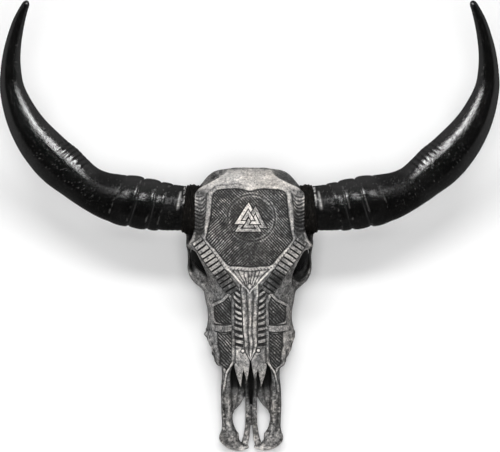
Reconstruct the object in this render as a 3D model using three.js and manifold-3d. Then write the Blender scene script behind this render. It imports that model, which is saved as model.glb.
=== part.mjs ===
// Water buffalo skull without its lower jaw, life size, in millimetres, lying on its cheek teeth and
// jugular processes with the face up. The nose points to -Y, the horns reach out along X, +Z is up.
//
// The bones are shaped in a face frame: x across, y along the face from the nose to the poll, z out of
// the face. The whole skull is then tipped by FACE_TILT so that the biting plane of the teeth lies level.
import * as THREE from "three";
import { mergeVertices } from "three/addons/utils/BufferGeometryUtils.js";
import Module from "manifold-3d";

// ---- driving sizes -------------------------------------------------------------------------------
const FACE_TILT = THREE.MathUtils.degToRad(18); // slope of the face above the biting plane
const BITE_LEVEL = 62; // height of the face frame's origin above the biting plane
const JOINT_GAP = 0.4; // open line between neighbouring bones
const FACE_END = 296; // y of the line between maxilla and cranium
const SNOUT_START = 138; // y of the line between premaxilla and maxilla
const STUMP_X = 98.5; // flat end of the bony horn stump
const COLLAR_X = 123; // outer end of the rough core collar
const HORN_Y = 433.5; // centre of the horn base along the face
const HORN_Z = -36; // centre of the horn base below the face plane
const HORN_BASE = [41.5, 32]; // half width and half depth of the horn base
const TOOTH_START = 149; // y of the front of the cheek teeth
const TOOTH_LENGTHS = [17, 19, 20, 25, 29, 31]; // three premolars, three molars
const TOOTH_WIDTHS = [15, 18, 20, 23, 24, 22];
const NASAL_TIP = 113; // y of the nasal bones' points
const NASAL_ROOT = 289;

// Cross-sections of the face and the cranium at stations along y. Each has its midline height on top
// (ridge) and below (base), and the x, z of the shoulder of the roof, the brow edge, the eave under it,
// the side wall and the lower edge.
const FACE = [
  { y: 138, ridge: -4, roof: [20, -9], brow: [38, -29], eave: [50, -42], wall: [51, -58], edge: [42, -72], base: -75 },
  { y: 148, ridge: -3.5, roof: [21, -8], brow: [40, -28], eave: [53, -44], wall: [54, -62], edge: [47, -78], base: -80 },
  { y: 165, ridge: -2.5, roof: [22, -7], brow: [42, -26], eave: [59, -50], wall: [62, -70], edge: [54, -88], base: -86 },
  { y: 185, ridge: -1.5, roof: [23, -6], brow: [44, -26], eave: [67, -54], wall: [71, -74], edge: [58, -96], base: -92 },
  { y: 207, ridge: -1, roof: [24, -5], brow: [47, -26], eave: [74, -58], wall: [80, -76], edge: [60, -104], base: -98 },
  { y: 240, ridge: -1, roof: [27, -5], brow: [52, -25], eave: [76, -58], wall: [75, -90], edge: [61, -112], base: -106 },
  { y: 270, ridge: -0.5, roof: [32, -4], brow: [58, -23], eave: [80, -52], wall: [77, -90], edge: [62, -118], base: -112 },
  { y: 296, ridge: 0, roof: [40, -3], brow: [67, -20], eave: [80, -46], wall: [76, -84], edge: [60, -116], base: -118 },
];
const CRANIUM = [
  { y: 296, ridge: 0, roof: [40, -3], brow: [67, -20], eave: [80, -46], wall: [76, -84], edge: [60, -116], base: -118 },
  { y: 320, ridge: 3.5, roof: [47, 0], brow: [77, -14], eave: [76, -32], wall: [54, -72], edge: [40, -108], base: -114 },
  { y: 345, ridge: 7, roof: [56, 4], brow: [89, -11], eave: [84, -27], wall: [46, -68], edge: [36, -106], base: -114 },
  { y: 366, ridge: 10, roof: [62, 7], brow: [110, -17], eave: [103, -33], wall: [47, -69], edge: [38, -112], base: -120 },
  { y: 379, ridge: 12, roof: [62, 8], brow: [104, -15], eave: [96, -38], wall: [51, -73], edge: [41, -119], base: -126 },
  { y: 394, ridge: 14, roof: [62, 10], brow: [99, -13], eave: [90, -50], wall: [56, -80], edge: [44, -126], base: -133 },
  { y: 434, ridge: 16, roof: [66, 11], brow: [97, -10], eave: [91, -63], wall: [60, -92], edge: [49, -139], base: -147 },
  { y: 470, ridge: 10, roof: [60, 4], brow: [88.5, -18], eave: [85.5, -66], wall: [67, -104], edge: [53, -150], base: -155 },
  { y: 486, ridge: -2, roof: [52, -8], brow: [76.5, -30], eave: [77.5, -68], wall: [65, -108], edge: [50, -148], base: -152 },
  { y: 497, ridge: -15, roof: [41, -20], brow: [63, -40], eave: [68, -71], wall: [56, -103], edge: [41, -127], base: -132 },
  { y: 505.5, ridge: -31, roof: [22, -35], brow: [35, -46], eave: [40, -64], wall: [32, -80], edge: [18, -92], base: -96 },
];

// Right horn: its centre line, and its half width and half depth at even steps along it.
const HORN_LINE = [
  [COLLAR_X + JOINT_GAP, HORN_Y, HORN_Z], [130, HORN_Y, HORN_Z], [146, 435, -37.5], [204.8, 444.4, -43], [265.4, 459.5, -47], [317.8, 492.8, -50], [365.3, 535.2, -51],
  [402.4, 585.6, -49], [425.4, 644.2, -45], [428.5, 682, -41], [425.4, 718, -37], [415.6, 760, -31], [406, 786, -27], [397.2, 804.6, -24],
];
const HORN_WIDTH = [40, 43.5, 45, 43.5, 39, 39, 41, 38.5, 33.5, 27.6, 21.8, 17.4, 14.2, 10.8, 6.2];
const HORN_DEPTH = [31, 32.5, 33, 32, 30, 29, 28.5, 27, 24, 20, 16, 13.5, 11, 8.6, 5.4];
const HORN_RINGS = [0.04, 0.073, 0.124, 0.189]; // lines between the growth rings, as shares of the horn's length
const RING_RISE = 1.6;
const TIP_ROUND = 0.016; // share of the length over which the tip rounds off
const BASE_LEAN = 10; // the horn's base edge comes this much nearer to the skull on its upper side

// ---- helpers -------------------------------------------------------------------------------------
const wasm = await Module();
wasm.setup();
const V3 = (x, y, z) => new THREE.Vector3(x, y, z);

// A closed skin over a row of rings with the same number of points each, with a fan at both ends.
function skin(rings) {
  const n = rings[0].length;
  const position = rings.flat().flatMap((p) => [p.x, p.y, p.z]);
  const index = [];
  for (let r = 0; r + 1 < rings.length; r++)
    for (let i = 0; i < n; i++) {
      const a = r * n + i, b = r * n + ((i + 1) % n);
      index.push(a, b, b + n, a, b + n, a + n);
    }
  for (const [r, flip] of [[0, true], [rings.length - 1, false]]) {
    const middle = rings[r].reduce((s, p) => s.add(p), V3(0, 0, 0)).multiplyScalar(1 / n);
    const c = position.length / 3;
    position.push(middle.x, middle.y, middle.z);
    for (let i = 0; i < n; i++) {
      const a = r * n + i, b = r * n + ((i + 1) % n);
      index.push(...(flip ? [c, b, a] : [c, a, b]));
    }
  }
  return new THREE.BufferGeometry()
    .setAttribute("position", new THREE.Float32BufferAttribute(position, 3))
    .setIndex(index);
}

function solid(geometry, matrix = new THREE.Matrix4()) {
  const g = geometry.clone().applyMatrix4(matrix);
  g.deleteAttribute("normal");
  g.deleteAttribute("uv");
  const m = mergeVertices(g, 1e-4);
  const vertProperties = new Float32Array(m.attributes.position.array);
  const make = (triVerts) => new wasm.Manifold(new wasm.Mesh({ numProp: 3, vertProperties, triVerts }));
  const made = make(new Uint32Array(m.index.array));
  if (made.volume() > 0) return made;
  const turned = new Uint32Array(m.index.array);
  for (let i = 0; i < turned.length; i += 3) [turned[i + 1], turned[i + 2]] = [turned[i + 2], turned[i + 1]];
  return make(turned);
}

const place = (x, y, z, rx = 0, ry = 0, rz = 0, sx = 1, sy = 1, sz = 1) =>
  new THREE.Matrix4().compose(V3(x, y, z), new THREE.Quaternion().setFromEuler(new THREE.Euler(rx, ry, rz)), V3(sx, sy, sz));
const ball = (x, y, z, rx, ry, rz, tilt = 0, turn = 0) =>
  solid(new THREE.SphereGeometry(1, 12, 8), place(x, y, z, tilt, turn, 0, rx, ry, rz));
const block = (x0, x1, y0, y1, z0, z1) =>
  solid(new THREE.BoxGeometry(x1 - x0, y1 - y0, z1 - z0), place((x0 + x1) / 2, (y0 + y1) / 2, (z0 + z1) / 2));
const joined = (...solids) => solids.reduce((a, b) => a.add(b));
const mirrored = (m) => m.mirror([1, 0, 0]);
const bothSides = (m) => m.add(mirrored(m));

// A value read from an even table at share t, on a smooth curve.
function along(table, t) {
  const s = Math.min(Math.max(t, 0), 1) * (table.length - 1);
  const i = Math.min(Math.floor(s), table.length - 2), f = s - i;
  const at = (k) => table[Math.min(Math.max(k, 0), table.length - 1)];
  const [a, b, c, d] = [at(i - 1), at(i), at(i + 1), at(i + 2)];
  return b + 0.5 * f * (c - a + f * (2 * a - 5 * b + 4 * c - d + f * (3 * (b - c) + d - a)));
}

// One ring of a bone's cross-section at a station, as a smooth closed curve through its landmarks.
function section(s, samples) {
  const half = [s.roof, s.brow, s.eave, s.wall, s.edge];
  const marks = [
    V3(0, s.y, s.ridge), ...half.map(([x, z]) => V3(x, s.y, z)),
    V3(0, s.y, s.base), ...half.slice().reverse().map(([x, z]) => V3(-x, s.y, z)),
  ];
  const curve = new THREE.CatmullRomCurve3(marks, true, "centripetal");
  return Array.from({ length: samples }, (_, i) => curve.getPoint(i / samples));
}

// Stations with more in between, on smooth curves through the given ones.
function refined(stations, between) {
  const out = [];
  const keys = ["roof", "brow", "eave", "wall", "edge"];
  const numbers = (s) => [s.y, s.ridge, s.base, ...keys.flatMap((k) => s[k])];
  const rows = stations.map(numbers);
  for (let i = 0; i + 1 < rows.length; i++)
    for (let j = 0; j < between; j++) {
      const f = j / between;
      const at = (k) => rows[Math.min(Math.max(k, 0), rows.length - 1)];
      const [a, b, c, d] = [at(i - 1), at(i), at(i + 1), at(i + 2)];
      const span = c[0] - b[0];
      out.push(b.map((v, k) => {
        if (k === 0) return v + f * span;
        const m0 = i > 0 ? ((c[k] - a[k]) / (c[0] - a[0])) * span : c[k] - v;
        const m1 = i + 2 < rows.length ? ((d[k] - v) / (d[0] - b[0])) * span : c[k] - v;
        const f2 = f * f, f3 = f2 * f;
        return (2 * f3 - 3 * f2 + 1) * v + (f3 - 2 * f2 + f) * m0 + (3 * f2 - 2 * f3) * c[k] + (f3 - f2) * m1;
      }));
    }
  out.push(rows.at(-1));
  return out.map((r) => ({
    y: r[0], ridge: r[1], base: r[2],
    ...Object.fromEntries(keys.map((k, i) => [k, [r[3 + 2 * i], r[4 + 2 * i]]])),
  }));
}

// A bar along a curve. size(t) gives its half width across and half depth along `deep`. The steps are
// even in length, or the same number from each point of the curve to the next.
function bar(points, size, { steps = 12, sides = 10, deep = V3(0, 0, 1), shape = 2.3, even = false } = {}) {
  const curve = new THREE.CatmullRomCurve3(points.map((p) => V3(...p)), false, "centripetal");
  const rings = [];
  for (let i = 0; i <= steps; i++) {
    const t = i / steps;
    const p = even ? curve.getPointAt(t) : curve.getPoint(t), ahead = even ? curve.getTangentAt(t) : curve.getTangent(t);
    const across = V3().crossVectors(ahead, deep).normalize();
    const up = V3().crossVectors(across, ahead).normalize();
    const [a, b] = size(t);
    rings.push(Array.from({ length: sides }, (_, k) => {
      const f = (2 * Math.PI * k) / sides;
      const round = (c) => Math.sign(c) * Math.abs(c) ** (2 / shape);
      return p.clone().addScaledVector(across, a * round(Math.cos(f))).addScaledVector(up, b * round(Math.sin(f)));
    }));
  }
  return solid(skin(rings));
}
const table = (...rows) => (t) => rows.map((r) => along(r, t));

// A flat plate of a drawn outline in x, y, from z0 up to z1.
function plate(outline, z0, z1) {
  const shape = new THREE.Shape(outline.map(([x, y]) => new THREE.Vector2(x, y)));
  return solid(new THREE.ExtrudeGeometry(shape, { depth: z1 - z0, bevelEnabled: false }), place(0, 0, z0));
}

// ---- pose ----------------------------------------------------------------------------------------
const toFloor = new THREE.Matrix4().makeTranslation(0, 0, BITE_LEVEL).multiply(new THREE.Matrix4().makeRotationX(FACE_TILT));
const fromFloor = toFloor.clone().invert();
const floorAt = (y) => -(BITE_LEVEL + y * Math.sin(FACE_TILT)) / Math.cos(FACE_TILT);
const underFloor = solid(new THREE.BoxGeometry(400, 1200, 200), fromFloor.clone().multiply(place(0, 250, -100)));

// ---- face: maxilla with its cheek teeth, nasal bones ----------------------------------------------
const SIDES = 16;
let face = solid(skin(refined(FACE, 2).map((s) => section(s, SIDES))));
// Nasal cavity: a narrowing tunnel behind the nasal opening.
const cavity = bar(
  [[0, 120, -38], [0, 150, -38], [0, 190, -40], [0, 235, -44]],
  table([35, 33, 24, 7], [27, 25, 19, 6]),
  { steps: 6, sides: 12, shape: 2.2 },
);
// Hard palate carried forward between the snout bars, with slanting front edges.
const shelf = plate([[-1, SNOUT_START + 20], [-1, 106.5], [11.2, 106.5], [11.2, 94], [16, 88], [30, 73], [34, 76], [35.2, 100], [35.2, SNOUT_START + 20]], -70, -63);
// Cheek teeth: one fluted crown behind the other, square to the biting plane.
function tooth(length, width) {
  const c = 3.2, dip = 2.2, [l, w] = [length / 2 - 0.2, width / 2];
  const outline = [
    [w - c, -l], [w, -l + c], [w - dip, 0], [w, l - c], [w - c, l],
    [-w + c, l], [-w, l - c], [-w + dip, 0], [-w, -l + c], [-w + c, -l],
  ].map(([x, y]) => new THREE.Vector2(x, y));
  return new THREE.ExtrudeGeometry(new THREE.Shape(outline), { depth: 52, bevelEnabled: false });
}
let teeth = null;
{
  let y = TOOTH_START;
  TOOTH_LENGTHS.forEach((length, i) => {
    const middle = y + (length * Math.cos(FACE_TILT)) / 2;
    const at = place(47.5 + i * 1.4, middle, floorAt(middle), -FACE_TILT, 0, -0.03);
    const one = solid(tooth(length + 0.6, TOOTH_WIDTHS[i]), at.multiply(place(0, 0, -1)));
    teeth = teeth ? teeth.add(one) : one;
    y += length * Math.cos(FACE_TILT);
  });
}
const tuberosity = bar([[56, 268, -96], [56, 284, -112], [53, 294, -126]], table([15, 15, 9], [22, 22, 12]), { steps: 4, sides: 10 });
const orbit = ball(95, 327, -50, 47, 36, 35, 0, 0.12);
const choana = ball(0, 306, -124, 17, 34, 17, -0.25);

// Nasal bones: the middle strip of the roof, parted by thin lines, with forked free points.
const nasalHalf = [[138, 20], [165, 22.5], [200, 24], [240, 22], [270, 17], [NASAL_ROOT, 2]];
const nasalStrip = (grow) =>
  plate([...nasalHalf.map(([y, x]) => [x + grow, y + (y === NASAL_ROOT ? grow : 0)]), ...nasalHalf.slice().reverse().map(([y, x]) => [-x - grow, y + (y === NASAL_ROOT ? grow : 0)])], -13 - grow, 30);
const fork = plate(
  [[0.3, 146], [0.3, 140], [2.6, 138], [6.2, 122], [8.6, 134], [10.4, 138], [15.2, NASAL_TIP], [18.6, 126], [19.6, 138], [19.8, 146]],
  -13, -6.5,
);
const strip = face.intersect(nasalStrip(0)).subtract(block(-60, 60, 0, SNOUT_START + JOINT_GAP / 2, -60, 60));
const nasalSide = joined(strip.intersect(block(JOINT_GAP / 2, 60, 0, 400, -60, 60)), fork);

let maxilla = face
  .subtract(cavity)
  .add(bothSides(shelf))
  .add(bothSides(teeth))
  .add(bothSides(tuberosity))
  .subtract(nasalStrip(JOINT_GAP))
  .subtract(bothSides(orbit))
  .subtract(choana)
  .subtract(underFloor)
  .intersect(block(-200, 200, 0, FACE_END - JOINT_GAP / 2, -300, 100));

// ---- premaxillae: the two open bars of the snout ---------------------------------------------------
const snoutBar = bar(
  [[43.6, 152, -47], [44, 120, -46], [43.6, 92, -45.5], [43.3, 66, -46], [43.1, 52, -47], [41, 36, -48], [38.6, 23.5, -49], [31, 10.8, -51], [19, 4.2, -52.5], [8, 4.4, -53]],
  table([8.6, 9, 9.2, 9.7, 9.7, 12, 16.8, 12.6, 7.4, 4], [21, 16, 13, 11.5, 11, 10.5, 10, 9, 7, 4]),
  { steps: 15, sides: 8 },
);
const midBar = bar(
  [[12.4, 5.5, -53], [9.6, 19.5, -54], [6.8, 37, -55], [6.2, 60, -58], [6.2, 84, -63], [6.2, 104, -68]],
  table([6, 6, 4.9, 4.6, 4.6, 4.6], [5.5, 5.5, 5.5, 5.5, 5.5, 4]),
  { steps: 8, sides: 8 },
);
const behindSnout = block(-200, 200, SNOUT_START - JOINT_GAP / 2, 600, -300, 100);
const premaxilla = joined(snoutBar, midBar)
  .subtract(behindSnout)
  .subtract(shelf.add(shelf.translate([JOINT_GAP, 0, 0])).add(shelf.translate([-JOINT_GAP, 0, 0])))
  .subtract(block(-60, JOINT_GAP / 2, -60, 600, -300, 100));

// ---- cranium, occiput ------------------------------------------------------------------------------
let vault = solid(skin(refined(CRANIUM, 2).map((s) => section(s, SIDES))));
const stump = bar([[70, HORN_Y, HORN_Z - 2], [STUMP_X, HORN_Y, HORN_Z]], () => [HORN_BASE[0] + 0.5, HORN_BASE[1] + 1], { steps: 1, sides: 16 });
const condyle = ball(27, 467, -163, 19, 17, 22, 0.5);
const jugular = bar(
  [[60, 452, -118], [63, 453, -150], [62, 449, -185], [59, 444, floorAt(444) - 6]],
  table([15, 14, 10, 6.5], [13, 12, 9, 6.5]),
  { steps: 4, sides: 8, deep: V3(0, 1, 0) },
);
const pterygoid = bar([[27, 286, -112], [27, 312, -126], [29, 338, -124], [33, 362, -108]], table([6, 5, 5, 7], [16, 15, 13, 12]), { steps: 4, sides: 6 });
const orbitFloor = ball(77, 342, -105, 31, 42, 15).add(ball(84, 386, -106, 27, 28, 10));
const foramen = ball(0, 474, -150, 15.5, 26, 15, 0.35);
const backPlane = new THREE.Matrix4().multiplyMatrices(place(0, 480, -60), new THREE.Matrix4().makeRotationX(-FACE_TILT - Math.PI / 2));
const backHalf = (gap) => solid(new THREE.BoxGeometry(500, 500, 500), backPlane.clone().multiply(place(0, 0, 250 + gap)));

const brain = vault
  .add(bothSides(stump))
  .add(bothSides(condyle))
  .add(bothSides(jugular))
  .add(bothSides(pterygoid))
  .subtract(foramen)
  .subtract(bothSides(orbit))
  .add(bothSides(orbitFloor))
  .subtract(choana)
  .subtract(bothSides(block(STUMP_X, 300, HORN_Y - 45, HORN_Y + 45, -300, 100)))
  .subtract(underFloor)
  .subtract(block(-300, 300, -100, FACE_END + JOINT_GAP / 2, -400, 200));
let cranium = brain.subtract(backHalf(-JOINT_GAP / 2));
let occiput = brain.intersect(backHalf(JOINT_GAP / 2));

// ---- zygomatic arches: the outer rim of each orbit and the bar behind it ---------------------------
const arch = bar(
  [[82, 294, -62], [99.5, 308, -58], [107.4, 322, -58], [107.8, 345, -61], [109, 372, -67], [110, 392, -78], [99, 420, -92], [80, 441, -104], [70, 447, -107]],
  table([7, 5.5, 3.6, 3.4, 4, 4.4, 5.4, 7, 9], [15, 14, 12.5, 10.5, 9.5, 9, 10, 12, 12]),
  { steps: 13, sides: 8 },
);
const malar = bar([[72, 301, -70], [85, 308.5, -70], [96, 319, -70], [104, 336, -71]], table([7, 10.5, 8.5, 5], [12, 15, 14, 8]), { steps: 5, sides: 8 });
const postorbital = bar([[104, 367, -24], [107.5, 368, -46], [108.5, 370, -64]], table([5.5, 4.5, 5], [7.5, 7, 7.5]), { steps: 4, sides: 8, deep: V3(0, 1, 0) });
const near = (m) => bothSides(joined(m, m.translate([JOINT_GAP, 0, 0]), m.translate([0, JOINT_GAP, 0]), m.translate([0, -JOINT_GAP, 0])));
const largest = (m) => m.decompose().sort((a, b) => b.volume() - a.volume())[0];
const zygomatic = largest(joined(arch, malar, postorbital).subtract(near(maxilla)).subtract(near(cranium)).subtract(near(occiput)));

// ---- horns -----------------------------------------------------------------------------------------
// The line between the collar and the horn leans; share(x) says how much of the lean a place takes.
const eased = (a, b, x) => THREE.MathUtils.smoothstep(x, a, b);
const leaned = (m, share) => m.warp((v) => { v[0] -= share(v[0]) * BASE_LEAN * (0.55 + (0.5 * (v[1] - HORN_Y)) / HORN_BASE[0]); });
const collar = leaned(bar(
  [[STUMP_X + JOINT_GAP, HORN_Y, HORN_Z], [111, HORN_Y, HORN_Z], [COLLAR_X, HORN_Y, HORN_Z]],
  (t) => [HORN_BASE[0] + 0.8 * Math.sin(6 * Math.PI * t) - 0.6 * t, HORN_BASE[1] + 0.6 * Math.sin(6 * Math.PI * t) - 0.4 * t],
  { steps: 6, sides: 16 },
), (x) => eased(STUMP_X, COLLAR_X, x));
function ringRise(t) {
  const i = HORN_RINGS.findIndex((at) => at > t);
  return i > 0 ? RING_RISE * Math.sin((Math.PI * (t - HORN_RINGS[i - 1])) / (HORN_RINGS[i] - HORN_RINGS[i - 1])) : 0;
}
const tipRound = (t) => (t > 1 - TIP_ROUND ? Math.max(0.35, Math.sqrt(1 - ((t - 1 + TIP_ROUND) / TIP_ROUND) ** 2)) : 1);
const horn = leaned(bar(
  HORN_LINE,
  (t) => [(along(HORN_WIDTH, t) + ringRise(t)) * tipRound(t), (along(HORN_DEPTH, t) + ringRise(t)) * tipRound(t)],
  { steps: 34, sides: 12, shape: 2.15, even: true },
), (x) => 1 - eased(COLLAR_X + JOINT_GAP, 150, x));

// ---- scene graph -----------------------------------------------------------------------------------
const bone = new THREE.MeshStandardMaterial({ color: 0x6e6b68, roughness: 0.72, metalness: 0 });
const rough = new THREE.MeshStandardMaterial({ color: 0x1d1a17, roughness: 0.85, metalness: 0 });
const keratin = new THREE.MeshStandardMaterial({ color: 0x0c0c0c, roughness: 0.28, metalness: 0 });

function mesh(name, made, material) {
  const m = largest(made).getMesh();
  const position = new Float32Array(m.numVert * 3);
  for (let i = 0; i < m.numVert; i++) position.set(m.vertProperties.subarray(i * m.numProp, i * m.numProp + 3), i * 3);
  const g = new THREE.BufferGeometry()
    .setAttribute("position", new THREE.BufferAttribute(position, 3))
    .setIndex(new THREE.BufferAttribute(m.triVerts, 1));
  g.computeVertexNormals();
  const out = new THREE.Mesh(g, material);
  out.name = name;
  return out;
}

const tipped = new THREE.Group();
tipped.rotation.x = FACE_TILT;
tipped.add(mesh("maxilla", maxilla, bone), mesh("cranium", cranium, bone), mesh("occiput", occiput, bone));
for (const [side, of] of [["right", (m) => m], ["left", mirrored]])
  tipped.add(
    mesh("nasal_" + side, of(nasalSide), bone),
    mesh("premaxilla_" + side, of(premaxilla), bone),
    mesh("zygomatic_" + side, of(zygomatic), bone),
    mesh("horn_core_" + side, of(collar), rough),
    mesh("horn_" + side, of(horn), keratin),
  );

// The origin is on the floor, under the middle of the whole skull.
const skull = new THREE.Group();
skull.add(tipped);
tipped.position.z = BITE_LEVEL;
skull.updateMatrixWorld(true);
const box = new THREE.Box3().setFromObject(skull, true);
tipped.position.y = -(box.min.y + box.max.y) / 2;

export default skull;
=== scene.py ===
import math

import bpy
import numpy as np
from mathutils import Matrix, Vector


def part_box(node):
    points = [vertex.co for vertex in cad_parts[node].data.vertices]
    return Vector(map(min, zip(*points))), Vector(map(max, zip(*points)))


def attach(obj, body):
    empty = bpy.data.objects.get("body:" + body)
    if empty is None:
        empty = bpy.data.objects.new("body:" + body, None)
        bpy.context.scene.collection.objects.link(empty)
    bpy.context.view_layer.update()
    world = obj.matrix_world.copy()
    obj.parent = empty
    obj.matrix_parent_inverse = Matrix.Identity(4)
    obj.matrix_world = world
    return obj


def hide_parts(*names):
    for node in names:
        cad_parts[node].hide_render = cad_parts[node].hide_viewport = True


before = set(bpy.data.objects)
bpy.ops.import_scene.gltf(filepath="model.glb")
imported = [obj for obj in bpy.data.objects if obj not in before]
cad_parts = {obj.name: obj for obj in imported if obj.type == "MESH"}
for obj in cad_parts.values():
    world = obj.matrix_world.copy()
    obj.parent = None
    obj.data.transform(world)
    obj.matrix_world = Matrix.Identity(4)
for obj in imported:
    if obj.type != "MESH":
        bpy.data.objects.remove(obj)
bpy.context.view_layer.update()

# ---------------------------------------------------------------------------------------------------
# The skull is shaped in a face frame, in millimetres: x across, y along the face from the nose to the
# poll, z out of the face. It is tipped by TILT onto the biting plane of its teeth.
# ---------------------------------------------------------------------------------------------------
TILT = math.radians(18)
CT, ST = math.cos(TILT), math.sin(TILT)
BITE = 62.0
HORN_Y, HORN_Z = 433.5, -36.0
core_lo, core_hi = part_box("horn_core_right")
SHIFT_Y = 500.0 * (core_lo[1] + core_hi[1]) - (HORN_Y * CT - HORN_Z * ST)
UNIT = 1.78  # one unit of the carving drawing, in mm
NOSE = 451.5  # the drawing's line at the nose
MID = 249.6  # the drawing's midline


def to_world(p):
    q = np.empty_like(p, dtype=np.float64)
    q[:, 0] = p[:, 0]
    q[:, 1] = p[:, 1] * CT - p[:, 2] * ST + SHIFT_Y
    q[:, 2] = p[:, 1] * ST + p[:, 2] * CT + BITE
    return q / 1000.0


AXES = Matrix(((1, 0, 0), (0, CT, -ST), (0, ST, CT)))


def spot(x, y, z):
    return Vector(to_world(np.array([[x, y, z]], dtype=np.float64))[0])


# ---- small maths ----------------------------------------------------------------------------------
def ss(a, b, x):
    t = np.clip((x - a) / (b - a), 0.0, 1.0)
    return t * t * (3.0 - 2.0 * t)


def bump(x, w):
    return np.exp(-((x / w) ** 2))


def smin(a, b, k):
    h = np.maximum(k - np.abs(a - b), 0.0) / k
    return np.minimum(a, b) - h * h * k * 0.25


def smax(a, b, k):
    h = np.maximum(k - np.abs(a - b), 0.0) / k
    return np.maximum(a, b) + h * h * k * 0.25


def noise(p, size, seed):
    q = np.asarray(p, dtype=np.float64) / size + 512.0
    i = np.floor(q).astype(np.int64)
    f = q - i
    f = f * f * (3.0 - 2.0 * f)
    out = np.zeros(len(q))
    for dx in (0, 1):
        wx = f[:, 0] if dx else 1.0 - f[:, 0]
        for dy in (0, 1):
            wy = f[:, 1] if dy else 1.0 - f[:, 1]
            for dz in (0, 1):
                wz = f[:, 2] if dz else 1.0 - f[:, 2]
                n = (i[:, 0] + dx) * 374761 + (i[:, 1] + dy) * 668265 + (i[:, 2] + dz) * 982451 + seed * 97471
                n = ((n ^ (n >> 11)) * 1274126177) & 0x7FFFFFFF
                n = ((n ^ (n >> 15)) * 668265263) & 0x7FFFFFFF
                out += wx * wy * wz * (((n >> 7) & 0xFFFF) / 32767.5 - 1.0)
    return out


def fbm(p, size, seed, octaves=3):
    return sum(noise(p, size / 2.1 ** k, seed + 31 * k) * 0.5 ** k for k in range(octaves)) / 1.6


def curve(points, samples):
    """A centripetal Catmull-Rom curve through points, with its ends carried on straight."""
    pts = np.asarray(points, dtype=np.float64)
    pts = np.vstack([2 * pts[0] - pts[1], pts, 2 * pts[-1] - pts[-2]])
    return chain(pts, samples)


def chain(pts, samples):
    out = []
    for i in range(1, len(pts) - 2):
        p0, p1, p2, p3 = pts[i - 1], pts[i], pts[i + 1], pts[i + 2]
        t0 = 0.0
        t1 = t0 + max(np.linalg.norm(p1 - p0), 1e-6) ** 0.5
        t2 = t1 + max(np.linalg.norm(p2 - p1), 1e-6) ** 0.5
        t3 = t2 + max(np.linalg.norm(p3 - p2), 1e-6) ** 0.5
        t = np.linspace(t1, t2, samples, endpoint=False)[:, None]
        a1 = (t1 - t) / (t1 - t0) * p0 + (t - t0) / (t1 - t0) * p1
        a2 = (t2 - t) / (t2 - t1) * p1 + (t - t1) / (t2 - t1) * p2
        a3 = (t3 - t) / (t3 - t2) * p2 + (t - t2) / (t3 - t2) * p3
        b1 = (t2 - t) / (t2 - t0) * a1 + (t - t0) / (t2 - t0) * a2
        b2 = (t3 - t) / (t3 - t1) * a2 + (t - t1) / (t3 - t1) * a3
        out.append((t2 - t) / (t2 - t1) * b1 + (t - t1) / (t2 - t1) * b2)
    out.append(pts[-2][None])
    return np.vstack(out)


def along(table, t):
    """A value read from an even table at shares t, on a smooth curve."""
    table = np.asarray(table, dtype=np.float64)
    n = len(table)
    s = np.clip(t, 0, 1) * (n - 1)
    i = np.minimum(np.floor(s).astype(int), n - 2)
    f = s - i
    at = lambda k: table[np.clip(k, 0, n - 1)]
    a, b, c, d = at(i - 1), at(i), at(i + 1), at(i + 2)
    return b + 0.5 * f * (c - a + f * (2 * a - 5 * b + 4 * c - d + f * (3 * (b - c) + d - a)))


# ---------------------------------------------------------------------------------------------------
# Bone: a distance field on a grid over the right half, mirrored, then skinned.
# ---------------------------------------------------------------------------------------------------
STEP = 1.5
xs = ((np.arange(84) + 0.5) * STEP).astype(np.float32)
ys = np.arange(-9.0, 513.0, STEP).astype(np.float32)
zs = np.arange(-217.0, 26.0, STEP).astype(np.float32)

# y, ridge z, then x, z of the roof's shoulder, the brow edge, the eave, the side wall and the lower edge, base z
STATIONS = np.array([
    [132, -4.5, 20, -9.5, 37, -29, 49, -41, 50, -56, 41, -70, -73],
    [148, -3.5, 21, -8, 40, -27, 53, -43, 54.5, -62, 47, -78, -80],
    [165, -2.5, 22, -7, 42, -25, 59, -49, 62.5, -70, 54, -88, -86],
    [185, -1.5, 23, -6, 44, -24, 67, -53, 71.5, -74, 58, -96, -92],
    [207, -1, 24, -5, 47, -24, 74, -57, 80, -76, 60, -104, -98],
    [240, -1, 27, -5, 52, -23, 76, -57, 75, -90, 61, -112, -106],
    [270, -0.5, 32, -4, 58, -21, 80, -51, 77, -90, 62, -118, -112],
    [296, 0, 40, -3, 67, -18, 81, -45, 76, -84, 60, -116, -118],
    [320, 3.5, 47, 0, 78, -13, 76, -31, 54, -72, 40, -108, -114],
    [345, 7, 56, 4, 90, -11, 85, -27, 46, -68, 36, -106, -114],
    [358, 8.9, 60, 6, 98.5, -13.5, 94, -28, 46.5, -68.5, 37, -109, -117.5],
    [366, 10, 62, 7, 112, -17, 103, -31, 47, -69, 38, -112, -120],
    [372, 11, 62, 7.5, 106.5, -16, 99, -34.5, 49, -71, 39.5, -115.5, -123],
    [379, 12, 62, 8, 103, -15, 96, -38, 51, -73, 41, -119, -126],
    [394, 14, 62, 10, 98.5, -13, 90, -50, 56, -80, 44, -126, -133],
    [434, 16, 66, 11, 97, -10, 91, -63, 60, -92, 49, -139, -147],
    [470, 10, 60, 4, 88, -18, 85, -66, 67, -104, 53, -150, -155],
    [486, -2, 52, -8, 76.5, -30, 77.5, -68, 65, -108, 50, -148, -152],
    [497, -15, 41, -20, 63, -40, 68, -71, 56, -103, 41, -127, -132],
    [502.5, -24, 30, -28, 49, -43, 54.5, -67, 45, -91, 30, -108, -113],
    [506.2, -37, 14, -39, 24, -47, 27, -62, 22, -76, 12, -84, -87],
])


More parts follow.
